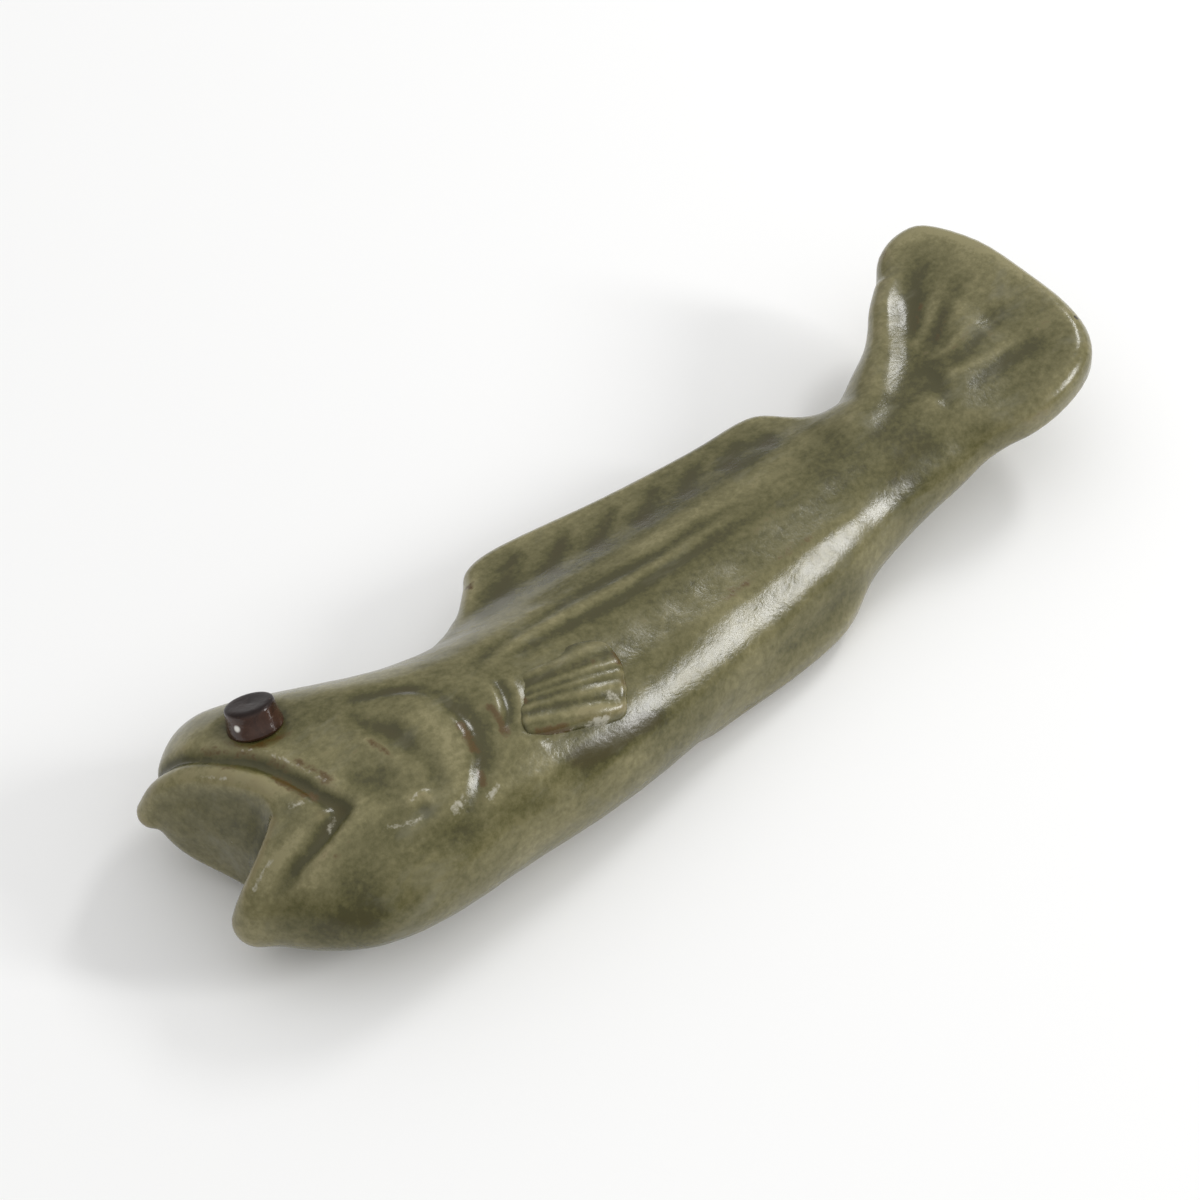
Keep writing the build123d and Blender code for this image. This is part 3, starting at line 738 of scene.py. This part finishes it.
def fish_field(grid, relief):
    """The whole fish without its eye and its pectoral fin."""
    field = flank_field(grid)
    _, mid_z, _, _ = slice_shape(grid.x)
    field -= relief * ease(grid.z - mid_z.astype(np.float32), *BODY_RELIEF_FADE)
    field += sum(height * ripples(grid, wavelength, seed) for height, wavelength, seed in CLAY_RIPPLES)
    add_plate(field, grid, relief, *BACK_FIN, BACK_FIN_ROUNDING, BACK_FIN_BLEND)
    add_plate(field, grid, relief, *BELLY_FIN, BELLY_FIN_ROUNDING, BELLY_FIN_BLEND)
    add_plate(field, grid, relief, *FAN, FAN_ROUNDING, FAN_BLEND)
    cuts, part = grid.window(*MOUTH_REACH)
    px, py = part.x[:, :, 0], part.y[:, :, 0]
    carve = (part.z - mouth_floor(px, py)[:, :, None]) * MOUTH_EASE
    head = smooth_max(field[cuts], carve, MOUTH_BLEND)
    notch = outline_distance(px, py, rounded_path(NOTCH, 4, True))[:, :, None]
    field[cuts] = smooth_max(head, -notch, NOTCH_BLEND)
    add_roll(field, grid, UPPER_LIP_ROLL, UPPER_LIP_RADII, UPPER_LIP_BLEND)
    add_roll(field, grid, JAW_ROLL, JAW_RADII, JAW_BLEND)
    return smooth_max(field, -grid.z, FOOT_ROUNDING)


# Pectoral fin: a thin fan that lies on the flank

FIN_OUTLINE = (
    (-13.4, -5.3), (-11.7, -4.9), (-10.0, -5.0), (-8.3, -5.5), (-6.9, -6.1), (-6.2, -7.1),
    (-6.4, -8.7), (-7.0, -10.0), (-7.8, -11.1), (-8.6, -11.8), (-10.2, -11.7), (-11.6, -11.3),
    (-13.4, -10.9), (-15.0, -10.4), (-15.9, -9.8), (-15.4, -8.4), (-14.6, -7.1), (-13.9, -6.0),
)
FIN_UPPER_EDGE = ((-13.4, -5.2), (-6.6, -6.0))
FIN_LOWER_EDGE = ((-15.5, -9.5), (-8.7, -12.0))
FIN_ROOT_EDGE = ((-15.9, -9.9), (-13.5, -5.2))
# Height at the root and at the tip, and how far from the root it takes to get there
FIN_HEIGHTS = (0.2, 0.62)
FIN_RISE_RUN = 6.0
# Share of the height that is left on the upper edge, and how far root and upper edge sink in
FIN_UPPER_SHARE = 0.35
FIN_ROOT_SINK = 0.3
FIN_UPPER_SINK = 0.25
FIN_SEAT = 0.6
FIN_ROUNDING = 0.45
FIN_RIPPLES = (0.03, 2.2, 8)
# Rays: place across the fan, half width and height
FIN_RAYS = (
    (0.14, 0.16, 0.08), (0.44, 0.09, 0.05), (0.56, 0.07, 0.05), (0.71, 0.1, 0.06), (0.93, 0.12, 0.08),
)
# Tone between the rays, and how much a millimetre of a ray lightens it
FIN_GAP_TONE = -0.5
FIN_RAY_TONE = 11.0


def edge_distance(px, py, edge):
    """Distance to the right of a straight edge."""
    (ax, ay), (bx, by) = edge
    return ((px - ax) * (by - ay) - (py - ay) * (bx - ax)) / math.hypot(bx - ax, by - ay)


def fin_share(px, py):
    """Place across the fan of rays: 0 on its upper edge, 1 on its lower edge."""
    upper = np.maximum(edge_distance(px, py, FIN_UPPER_EDGE), 0)
    lower = np.maximum(-edge_distance(px, py, FIN_LOWER_EDGE), 0)
    return upper / np.maximum(upper + lower, 1e-6)


def fin_rays(px, py):
    """Height of the rays over the fan."""
    share = fin_share(px, py)
    return sum(rise * hump(np.abs(share - place), width) for place, width, rise in FIN_RAYS)


def fin_tone(points):
    """The fan is dark between its rays."""
    return FIN_RAY_TONE * fin_rays(points[:, 0], points[:, 1]) + FIN_GAP_TONE


def pectoral_field(grid):
    """The fan as a thin layer over the flank, which comes out of it at the root and the upper edge."""
    px, py = grid.x, grid.y
    root = edge_distance(px, py, FIN_ROOT_EDGE)
    share = fin_share(px, py)
    low, high = FIN_HEIGHTS
    height = low + (high - low) * ease(root, 0, FIN_RISE_RUN)
    height = height * (FIN_UPPER_SHARE + (1 - FIN_UPPER_SHARE) * ease(share, 0, 0.5)) + fin_rays(px, py)
    height = height - FIN_ROOT_SINK * (1 - ease(root, -0.3, 1.4)) * (1 - ease(share, 0.5, 0.9))
    height = height - FIN_UPPER_SINK * (1 - ease(share, 0, 0.25)) * (1 - ease(root, 3, 6.5))
    rise, wavelength, seed = FIN_RIPPLES
    flank = flank_field(grid) + rise * ripples(grid, wavelength, seed)
    outline = outline_distance(px, py, rounded_path(FIN_OUTLINE, 4, True))
    layer = smooth_max(flank - height, outline, FIN_ROUNDING)
    return np.maximum(layer, -flank - FIN_SEAT).astype(np.float32)


# Meshing


def blur(field, cells):
    """A soft mean of the field over a cube of cells, two passes each way."""
    out = field
    width = 2 * cells + 1
    for axis in range(3):
        for _ in range(2):
            pad = [(0, 0)] * 3
            pad[axis] = (cells + 1, cells)
            total = np.cumsum(np.pad(out, pad, mode="edge"), axis=axis, dtype=np.float64)
            high = np.take(total, range(width, total.shape[axis]), axis=axis)
            low = np.take(total, range(0, total.shape[axis] - width), axis=axis)
            out = ((high - low) / width).astype(np.float32)
    return out


def mesh_field(field, grid):
    """Points, in millimetres, and quads on the field's zero surface."""
    inside = field < 0
    nx, ny, nz = counts = tuple(n - 1 for n in field.shape)
    corners = list(np.ndindex(2, 2, 2))
    filled = sum(inside[i : i + nx, j : j + ny, k : k + nz].astype(np.uint8) for i, j, k in corners)
    cells = np.argwhere((filled > 0) & (filled < 8))
    values = {c: field[cells[:, 0] + c[0], cells[:, 1] + c[1], cells[:, 2] + c[2]] for c in corners}
    total = np.zeros((len(cells), 3))
    hits = np.zeros(len(cells))
    for a in corners:
        for axis in range(3):
            if a[axis]:
                continue
            b = tuple(1 if n == axis else a[n] for n in range(3))
            crossing = (values[a] < 0) != (values[b] < 0)
            spread = np.where(crossing, values[a] - values[b], 1.0)
            place = np.repeat(np.array(a, float)[None], len(cells), axis=0)
            place[:, axis] = values[a] / spread
            total += np.where(crossing[:, None], place, 0)
            hits += crossing
    points = grid.low + grid.pitch * (cells + total / hits[:, None])
    number = np.full(counts, -1, np.int32)
    number[tuple(cells.T)] = np.arange(len(cells))
    quads = []
    for axis in range(3):
        first = [slice(None)] * 3
        second = [slice(None)] * 3
        first[axis] = slice(0, -1)
        second[axis] = slice(1, None)
        here, there = inside[tuple(first)], inside[tuple(second)]
        edges = np.argwhere(here != there)
        p, q = [n for n in range(3) if n != axis]
        for n in (p, q):
            edges = edges[(edges[:, n] > 0) & (edges[:, n] < counts[n])]
        ring = []
        for dp, dq in ((0, 0), (1, 0), (1, 1), (0, 1)):
            at = edges.copy()
            at[:, p] -= dp
            at[:, q] -= dq
            ring.append(number[tuple(at.T)])
        quad = np.stack(ring, axis=1)
        flip = here[tuple(edges.T)] == (axis == 1)
        quad[flip] = quad[flip][:, ::-1]
        quads.append(quad)
    return points, np.vstack(quads)


def sample(field, grid, points):
    """The field's value at points, blended between its cells."""
    place = (points - grid.low) / grid.pitch
    base = np.clip(np.floor(place).astype(int), 0, np.array(field.shape) - 2)
    t = place - base
    out = 0
    for corner in np.ndindex(2, 2, 2):
        weight = np.where(corner, t, 1 - t)
        out = out + weight[:, 0] * weight[:, 1] * weight[:, 2] * field[tuple((base + corner).T)]
    return out


def set_attribute(mesh, label, values):
    """Give each point of a mesh a number that its material reads."""
    attribute = mesh.attributes.new(label, "FLOAT", "POINT")
    attribute.data.foreach_set("value", values.astype(np.float32))


def show(name, mesh):
    """A smooth object of the mesh, in the scene."""
    mesh.polygons.foreach_set("use_smooth", np.ones(len(mesh.polygons), bool))
    mesh.update()
    piece = bpy.data.objects.new(name, mesh)
    bpy.context.scene.collection.objects.link(piece)
    return piece


def make_piece(name, field, around, grid, iron_lines, painted_highlight_lines, tone_at):
    """A mesh object of the field, with its paint and how far each point stands out of what is around."""
    points, quads = mesh_field(field, grid)
    mesh = bpy.data.meshes.new(name)
    mesh.from_pydata((points * MM).tolist(), [], quads.tolist())
    for label, reach in STAND_OUT_REACHES:
        mean = blur(around, max(1, round(reach / grid.pitch)))
        set_attribute(mesh, label, sample(mean, grid, points) / reach)
    set_attribute(mesh, "iron", painted(points, iron_lines))
    # White painted highlights along edges that catch the light
    set_attribute(mesh, "painted_highlight", painted(points, painted_highlight_lines))
    set_attribute(mesh, "tone", tone_at(points))
    return show(name, mesh)


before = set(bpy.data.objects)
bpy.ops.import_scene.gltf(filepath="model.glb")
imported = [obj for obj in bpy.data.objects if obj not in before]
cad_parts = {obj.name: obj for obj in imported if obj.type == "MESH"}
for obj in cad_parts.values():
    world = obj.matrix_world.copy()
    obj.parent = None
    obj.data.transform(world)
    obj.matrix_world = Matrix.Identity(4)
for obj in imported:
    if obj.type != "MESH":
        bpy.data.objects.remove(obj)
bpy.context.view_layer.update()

# Eye: a stud with a flat top, turned on its axis. Radius and height over the middle of the bead
EYE_AXIS = Vector((0.1, 0.46, 0.88))
EYE_PROFILE = (
    (0.0, 1.06), (0.8, 1.1), (1.4, 1.12), (1.7, 1.06), (1.82, 0.9), (1.86, 0.6), (1.9, 0.2),
    (1.97, -0.2), (2.06, -0.6), (2.05, -0.85), (1.7, -1.05), (0.0, -1.05),
)
EYE_SHIFT = (-0.2, 0.7, 0.2)
EYE_STEPS = 96
SMALLEST_RING = 0.02
# How far it is out of round: share of the radius, lobes and phase
EYE_LOBES = ((0.018, 2, 0.6), (0.012, 3, 2.0))
# How far its top tilts, and which way
EYE_TILT = 0.05
EYE_TILT_ANGLE = 0.8
EYE_TILT_RADIUS = 1.82
# Where the look of the top gives way to that of the side, in height
EYE_TOP = 1.06
EYE_TOP_RIM = 0.3
# A painted highlight on the eye, a white spot where the light glints: its place and radius
EYE_PAINTED_HIGHLIGHT = (-31.15, 2.95, 12.4)
EYE_PAINTED_HIGHLIGHT_RADIUS = 0.62


def make_eye(name):
    """The eye stud, turned from its profile and seated where the bead is."""
    low, high = (Vector(corner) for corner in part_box("eye_bead"))
    turn = EYE_AXIS.to_track_quat("Z", "X").to_matrix().to_4x4()
    profile = rounded_path(EYE_PROFILE, 6)
    shape = bmesh.new()
    rings = []
    for radius, height in profile:
        ring = []
        for step in range(EYE_STEPS):
            angle = 2 * math.pi * step / EYE_STEPS
            wobble = 1 + sum(share * math.sin(lobes * angle + phase) for share, lobes, phase in EYE_LOBES)
            reach = max(radius, SMALLEST_RING) * wobble
            tilt = EYE_TILT * math.cos(angle - EYE_TILT_ANGLE) * radius / EYE_TILT_RADIUS
            corner = (reach * math.cos(angle), reach * math.sin(angle), height + tilt)
            ring.append(shape.verts.new([MM * value for value in corner]))
        rings.append(ring)
    for outer, inner in zip(rings, rings[1:]):
        for i in range(EYE_STEPS):
            j = (i + 1) % EYE_STEPS
            shape.faces.new((outer[i], inner[i], inner[j], outer[j]))
    shape.faces.new(rings[0])
    shape.faces.new(rings[-1][::-1])
    shape.transform(Matrix.Translation((low + high) / 2 + Vector(EYE_SHIFT) * MM) @ turn)
    mesh = bpy.data.meshes.new(name)
    shape.to_mesh(mesh)
    shape.free()
    side = [ease(EYE_TOP - height, 0, EYE_TOP_RIM) for _, height in profile]
    set_attribute(mesh, "side", np.repeat(side, EYE_STEPS))
    points = np.array([vertex.co for vertex in mesh.vertices]) / MM
    # A painted highlight: a white spot low on the eye's side
    set_attribute(mesh, "painted_highlight", hump(np.linalg.norm(points - EYE_PAINTED_HIGHLIGHT, axis=1), EYE_PAINTED_HIGHLIGHT_RADIUS))
    return show(name, mesh)


body_grid = Grid(*BODY_BOX, BODY_PITCH)
body_relief = draw_relief(body_grid)
body_field = fish_field(body_grid, body_relief.height[:, :, None].astype(np.float32))
body_paint = (IRON_LINES, PAINTED_HIGHLIGHT_LINES, body_relief.tone_at)
body = make_piece("glazed_body", body_field, body_field, body_grid, *body_paint)
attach(body, "root")
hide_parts("fish_body")

fin_grid = Grid(*FIN_BOX, FIN_PITCH)
fin_field = pectoral_field(fin_grid)
fin_and_flank = np.minimum(fin_field, flank_field(fin_grid))
fin_paint = (FIN_IRON_LINES, FIN_PAINTED_HIGHLIGHT_LINES, fin_tone)
fin = make_piece("glazed_pectoral_fin", fin_field, fin_and_flank, fin_grid, *fin_paint)
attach(fin, "root")
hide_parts("pectoral_fin")

eye_stud = make_eye("glazed_eye")
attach(eye_stud, "root")
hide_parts("eye_bead")


# Looks


RANGE_SOCKETS = ("From Min", "From Max", "To Min", "To Max")


class Look:
    """A procedural material and shorthand for its nodes."""

    def __init__(self, name):
        self.material = bpy.data.materials.new(name)
        self.material.use_nodes = True
        self.tree = self.material.node_tree
        self.shader = self.tree.nodes["Principled BSDF"]
        self.places = None

    def add(self, kind, **settings):
        node = self.tree.nodes.new(kind)
        for key, value in settings.items():
            setattr(node, key, value)
        return node

    def put(self, source, socket):
        """Link an output to a socket, or set the socket to a constant."""
        if isinstance(source, bpy.types.NodeSocket):
            self.tree.links.new(source, socket)
        else:
            socket.default_value = source

    def math(self, operation, a, b):
        node = self.add("ShaderNodeMath", operation=operation)
        self.put(a, node.inputs[0])
        self.put(b, node.inputs[1])
        return node.outputs[0]

    def scaled(self, value, weight):
        return self.math("MULTIPLY", value, weight)

    def nudged(self, value, source, weight, middle=0.5):
        """The value, raised where the source lies over its middle and lowered where it lies under it."""
        return self.math("ADD", value, self.scaled(self.math("SUBTRACT", source, middle), weight))

    def place(self):
        """Coordinates fixed to the piece, in metres."""
        if self.places is None:
            self.places = self.add("ShaderNodeTexCoord").outputs["Object"]
        return self.places

    def attribute(self, name):
        return self.add("ShaderNodeAttribute", attribute_name=name).outputs["Fac"]

    def noise(self, size, detail=3.0, roughness=0.5, warp=0.0, stretch=1.0):
        """Cloudy noise from 0 to 1, its features about this many millimetres across, stretched along x."""
        node = self.add("ShaderNodeTexNoise")
        place = self.add("ShaderNodeVectorMath", operation="MULTIPLY")
        self.put(self.place(), place.inputs[0])
        place.inputs[1].default_value = (1 / stretch, 1, 1)
        self.put(place.outputs[0], node.inputs["Vector"])
        node.inputs["Scale"].default_value = 1 / (size * MM)
        node.inputs["Detail"].default_value = detail
        node.inputs["Roughness"].default_value = roughness
        node.inputs["Distortion"].default_value = warp
        return node.outputs["Fac"]

    def step(self, value, low, high, out_low=0.0, out_high=1.0):
        """A soft step between two values."""
        node = self.add("ShaderNodeMapRange", interpolation_type="SMOOTHSTEP")
        self.put(value, node.inputs["Value"])
        for socket, number in zip(RANGE_SOCKETS, (low, high, out_low, out_high)):
            node.inputs[socket].default_value = number
        return node.outputs["Result"]

    def ramp(self, value, stops):
        node = self.add("ShaderNodeValToRGB")
        self.put(value, node.inputs["Fac"])
        bar = node.color_ramp.elements
        while len(bar) < len(stops):
            bar.new(0.5)
        for mark, (position, colour) in zip(bar, stops):
            mark.position = position
            mark.color = (*colour, 1)
        return node.outputs["Color"]

    def mix(self, share, a, b):
        """Blend two colours."""
        node = self.add("ShaderNodeMix", data_type="RGBA")
        self.put(share, node.inputs["Factor"])
        for socket, colour in ((node.inputs["A"], a), (node.inputs["B"], b)):
            self.put(colour if isinstance(colour, bpy.types.NodeSocket) else (*colour, 1), socket)
        return node.outputs["Result"]

    def bump(self, heights):
        """Small unevenness: pairs of a height and its depth in millimetres."""
        normal = None
        for height, depth in heights:
            node = self.add("ShaderNodeBump")
            node.inputs["Strength"].default_value = 1.0
            node.inputs["Distance"].default_value = depth * MM
            self.put(height, node.inputs["Height"])
            if normal is not None:
                self.put(normal, node.inputs["Normal"])
            normal = node.outputs["Normal"]
        self.put(normal, self.shader.inputs["Normal"])

    def specks(self, size, share, radius):
        """Sparse round specks: the share of cells that have one, and their radius in cells."""
        cells = self.add("ShaderNodeTexVoronoi")
        self.put(self.place(), cells.inputs["Vector"])
        cells.inputs["Scale"].default_value = 1 / (size * MM)
        draw = self.add("ShaderNodeSeparateColor")
        self.put(cells.outputs["Color"], draw.inputs["Color"])
        chosen = self.math("GREATER_THAN", draw.outputs["Red"], 1 - share)
        grown = self.scaled(draw.outputs["Green"], radius)
        near = self.math("LESS_THAN", cells.outputs["Distance"], grown)
        return self.scaled(chosen, near)


# Glaze from where it pools, and where shade is painted, to where it runs thin, and what it turns to
GLAZE_RAMP = (
    (0.0, (0.056, 0.051, 0.014)),
    (0.25, (0.090, 0.082, 0.026)),
    (0.5, (0.129, 0.116, 0.046)),
    (0.75, (0.175, 0.157, 0.069)),
    (1.0, (0.241, 0.215, 0.105)),
)
GLAZE_HAZE = (0.19, 0.182, 0.122)
GLAZE_EDGE = (0.15, 0.1, 0.045)
GLAZE_POOL_AND_SHADE = (0.05, 0.034, 0.01)
GLAZE_BROKEN = (0.08, 0.046, 0.01)
# White of the painted highlights
GLAZE_PAINTED_HIGHLIGHT = (0.42, 0.4, 0.32)
GLAZE_SPECK = (0.03, 0.022, 0.012)
CLAY_DARK = (0.3, 0.215, 0.13)
CLAY_PALE = (0.43, 0.33, 0.22)
# Heights over the table between which the bare foot gives way to glaze
BARE_FOOT = (0.25 * MM, 0.45 * MM)


def celadon(name):
    """Olive ash glaze: dark green where it pools and where shade is painted, pale and buff where it runs
    thin, brown where it breaks, white where highlights are painted.
    """
    look = Look(name)
    broad = look.attribute("broad")
    fine = look.attribute("fine")
    tone = look.attribute("tone")
    clouds = look.noise(8.0, 3.0, 0.55, 0.4, 1.5)
    streaks = look.noise(1.8, 4.0, 0.62, 0.5, 1.6)
    grain = look.noise(0.5, 3.0, 0.65)
    thin = look.math("ADD", look.scaled(tone, 0.8), 0.47)
    thin = look.nudged(thin, broad, 0.8, 0.08)
    thin = look.nudged(thin, fine, 0.8, 0.0)
    thin = look.nudged(thin, clouds, 1.1)
    thin = look.nudged(thin, streaks, 0.8)
    thin = look.nudged(thin, grain, 1.0)
    colour = look.ramp(thin, GLAZE_RAMP)
    haze = look.step(look.noise(3.2, 4.0, 0.6, 0.3, 2.0), 0.55, 0.78)
    colour = look.mix(look.scaled(haze, 0.5), colour, GLAZE_HAZE)
    edge = look.step(look.nudged(fine, streaks, 0.4), 0.1, 0.35)
    colour = look.mix(look.scaled(edge, 0.3), colour, GLAZE_EDGE)
    # Darkest where the tone is low: glaze pooled in hollows, and the painted shade around the eye, below the
    # pectoral fin and on the stem
    pool_and_shade = look.step(look.nudged(tone, streaks, 0.5, 0.0), -0.5, -0.1, 1.0, 0.0)
    colour = look.mix(look.scaled(pool_and_shade, 0.35), colour, GLAZE_POOL_AND_SHADE)
    broken = look.nudged(look.nudged(look.attribute("iron"), streaks, 1.6), grain, 1.6)
    colour = look.mix(look.scaled(look.step(broken, 0.3, 0.95), 0.92), colour, GLAZE_BROKEN)
    # Painted highlights: white specks and lines on edges that catch the light
    highlight_marks = look.nudged(look.nudged(look.attribute("painted_highlight"), grain, 2.0), streaks, 1.0)
    colour = look.mix(look.scaled(look.step(highlight_marks, 0.5, 1.1), 0.85), colour, GLAZE_PAINTED_HIGHLIGHT)
    colour = look.mix(look.specks(2.6, 0.06, 0.11), colour, GLAZE_SPECK)
    place = look.add("ShaderNodeSeparateXYZ")
    look.put(look.place(), place.inputs[0])
    bare = look.step(look.nudged(place.outputs["Z"], streaks, 0.5 * MM), *BARE_FOOT, 1.0, 0.0)
    colour = look.mix(bare, colour, look.mix(grain, CLAY_DARK, CLAY_PALE))
    look.put(colour, look.shader.inputs["Base Color"])
    gloss = look.math("ADD", look.scaled(streaks, 0.18), 0.14)
    look.put(look.math("ADD", gloss, look.scaled(bare, 0.6)), look.shader.inputs["Roughness"])
    # Less reflective in hollows: painted shade on the glaze's reflections in recesses
    look.put(look.step(broad, -0.35, -0.05, 0.16, 0.42), look.shader.inputs["Specular IOR Level"])
    look.bump(((streaks, 0.035), (grain, 0.016)))
    return look.material


# Iron glaze: darkest and palest on the top and down the side, its specks, and the white of a painted
# highlight
IRON_TOP = ((0.25, (0.01, 0.006, 0.005)), (0.75, (0.028, 0.017, 0.015)))
IRON_SIDE = ((0.25, (0.018, 0.007, 0.004)), (0.75, (0.075, 0.032, 0.018)))
IRON_SPECK = (0.09, 0.06, 0.04)
IRON_PAINTED_HIGHLIGHT = (0.85, 0.83, 0.78)


def iron_glaze(name):
    """Dark iron glaze, purplish on the flat top and redder down the side."""
    look = Look(name)
    clouds = look.noise(1.4, 4.0, 0.6, 0.5)
    grain = look.noise(0.3, 3.0, 0.6)
    side = look.attribute("side")
    colour = look.mix(side, look.ramp(clouds, IRON_TOP), look.ramp(clouds, IRON_SIDE))
    colour = look.mix(look.step(grain, 0.66, 0.8), colour, IRON_SPECK)
    # The painted highlight, in white
    colour = look.mix(look.step(look.attribute("painted_highlight"), 0.25, 0.6), colour, IRON_PAINTED_HIGHLIGHT)
    look.put(colour, look.shader.inputs["Base Color"])
    look.put(look.step(side, 0.0, 1.0, 0.34, 0.14), look.shader.inputs["Roughness"])
    look.put(look.step(side, 0.0, 1.0, 0.16, 0.5), look.shader.inputs["Specular IOR Level"])
    look.bump(((clouds, 0.05), (grain, 0.01)))
    return look.material


glaze = celadon("celadon_glaze")
for piece in (body, fin):
    piece.data.materials.append(glaze)
eye_stud.data.materials.append(iron_glaze("iron_glaze"))

# Stage, light and camera

FLOOR_SIZE = 4.0
PAPER_TONES = ((0.925, 0.925, 0.92), (0.935, 0.935, 0.93))
PAPER_ROUGHNESS = 0.8
# The dome's strength at the horizon and overhead
DOME_STRENGTHS = (0.3, 1.0)
LAMP_DISTANCE = 0.6
# Lamps: where from, the way the width runs, width, height and power
LAMPS = {
    "window": ((0.645, -0.615, 0.454), (1, 0, 0), 0.1, 0.22, 1.25),
    "skylight": ((0.726, 0.16, 0.67), (0.66, 0.75, 0), 0.18, 0.09, 0.7),
}

scene = bpy.context.scene
scene.view_settings.view_transform = "Standard"

bpy.ops.mesh.primitive_plane_add(size=FLOOR_SIZE, location=(0, 0, 0))
floor = bpy.context.object
floor.name = "floor"
paper = Look("floor_paper")
paper.put(paper.mix(paper.noise(40.0), *PAPER_TONES), paper.shader.inputs["Base Color"])
paper.shader.inputs["Roughness"].default_value = PAPER_ROUGHNESS
floor.data.materials.append(paper.material)

world = bpy.data.worlds.new("studio")
world.use_nodes = True
nodes = world.node_tree.nodes
links = world.node_tree.links
sky = nodes.new("ShaderNodeTexCoord")
height = nodes.new("ShaderNodeSeparateXYZ")
dome = nodes.new("ShaderNodeMapRange")
for socket, number in zip(RANGE_SOCKETS, (0.0, 1.0, *DOME_STRENGTHS)):
    dome.inputs[socket].default_value = number
links.new(sky.outputs["Generated"], height.inputs[0])
links.new(height.outputs["Z"], dome.inputs["Value"])
links.new(dome.outputs["Result"], nodes["Background"].inputs["Strength"])
nodes["Background"].inputs["Color"].default_value = (1, 1, 1, 1)
scene.world = world


def area_light(name, direction, along, width, height, power):
    """An oval lamp that faces the origin."""
    light = bpy.data.lights.new(name, "AREA")
    light.shape = "ELLIPSE"
    light.size = width
    light.size_y = height
    light.energy = power
    lamp = bpy.data.objects.new(name, light)
    way = Vector(direction).normalized()
    along = Vector(along)
    along = (along - way * along.dot(way)).normalized()
    lamp.location = way * LAMP_DISTANCE
    lamp.rotation_euler = Matrix((along, way.cross(along), way)).transposed().to_euler()
    scene.collection.objects.link(lamp)


for lamp_name, settings in LAMPS.items():
    area_light(lamp_name, *settings)

lens = bpy.data.cameras.new("camera")
lens.lens = VIEW_LENS
lens.sensor_width = VIEW_SENSOR
lens.clip_start = VIEW_CLIP_START
camera = bpy.data.objects.new("camera", lens)
azimuth = math.radians(VIEW_AZIMUTH)
elevation = math.radians(VIEW_ELEVATION)
level = math.cos(elevation)
back = Vector((math.sin(azimuth) * level, -math.cos(azimuth) * level, math.sin(elevation)))
camera.location = (Vector(VIEW_TARGET) + back * VIEW_DISTANCE) * MM
camera.rotation_euler = back.to_track_quat("Z", "Y").to_euler()
scene.collection.objects.link(camera)
scene.camera = camera
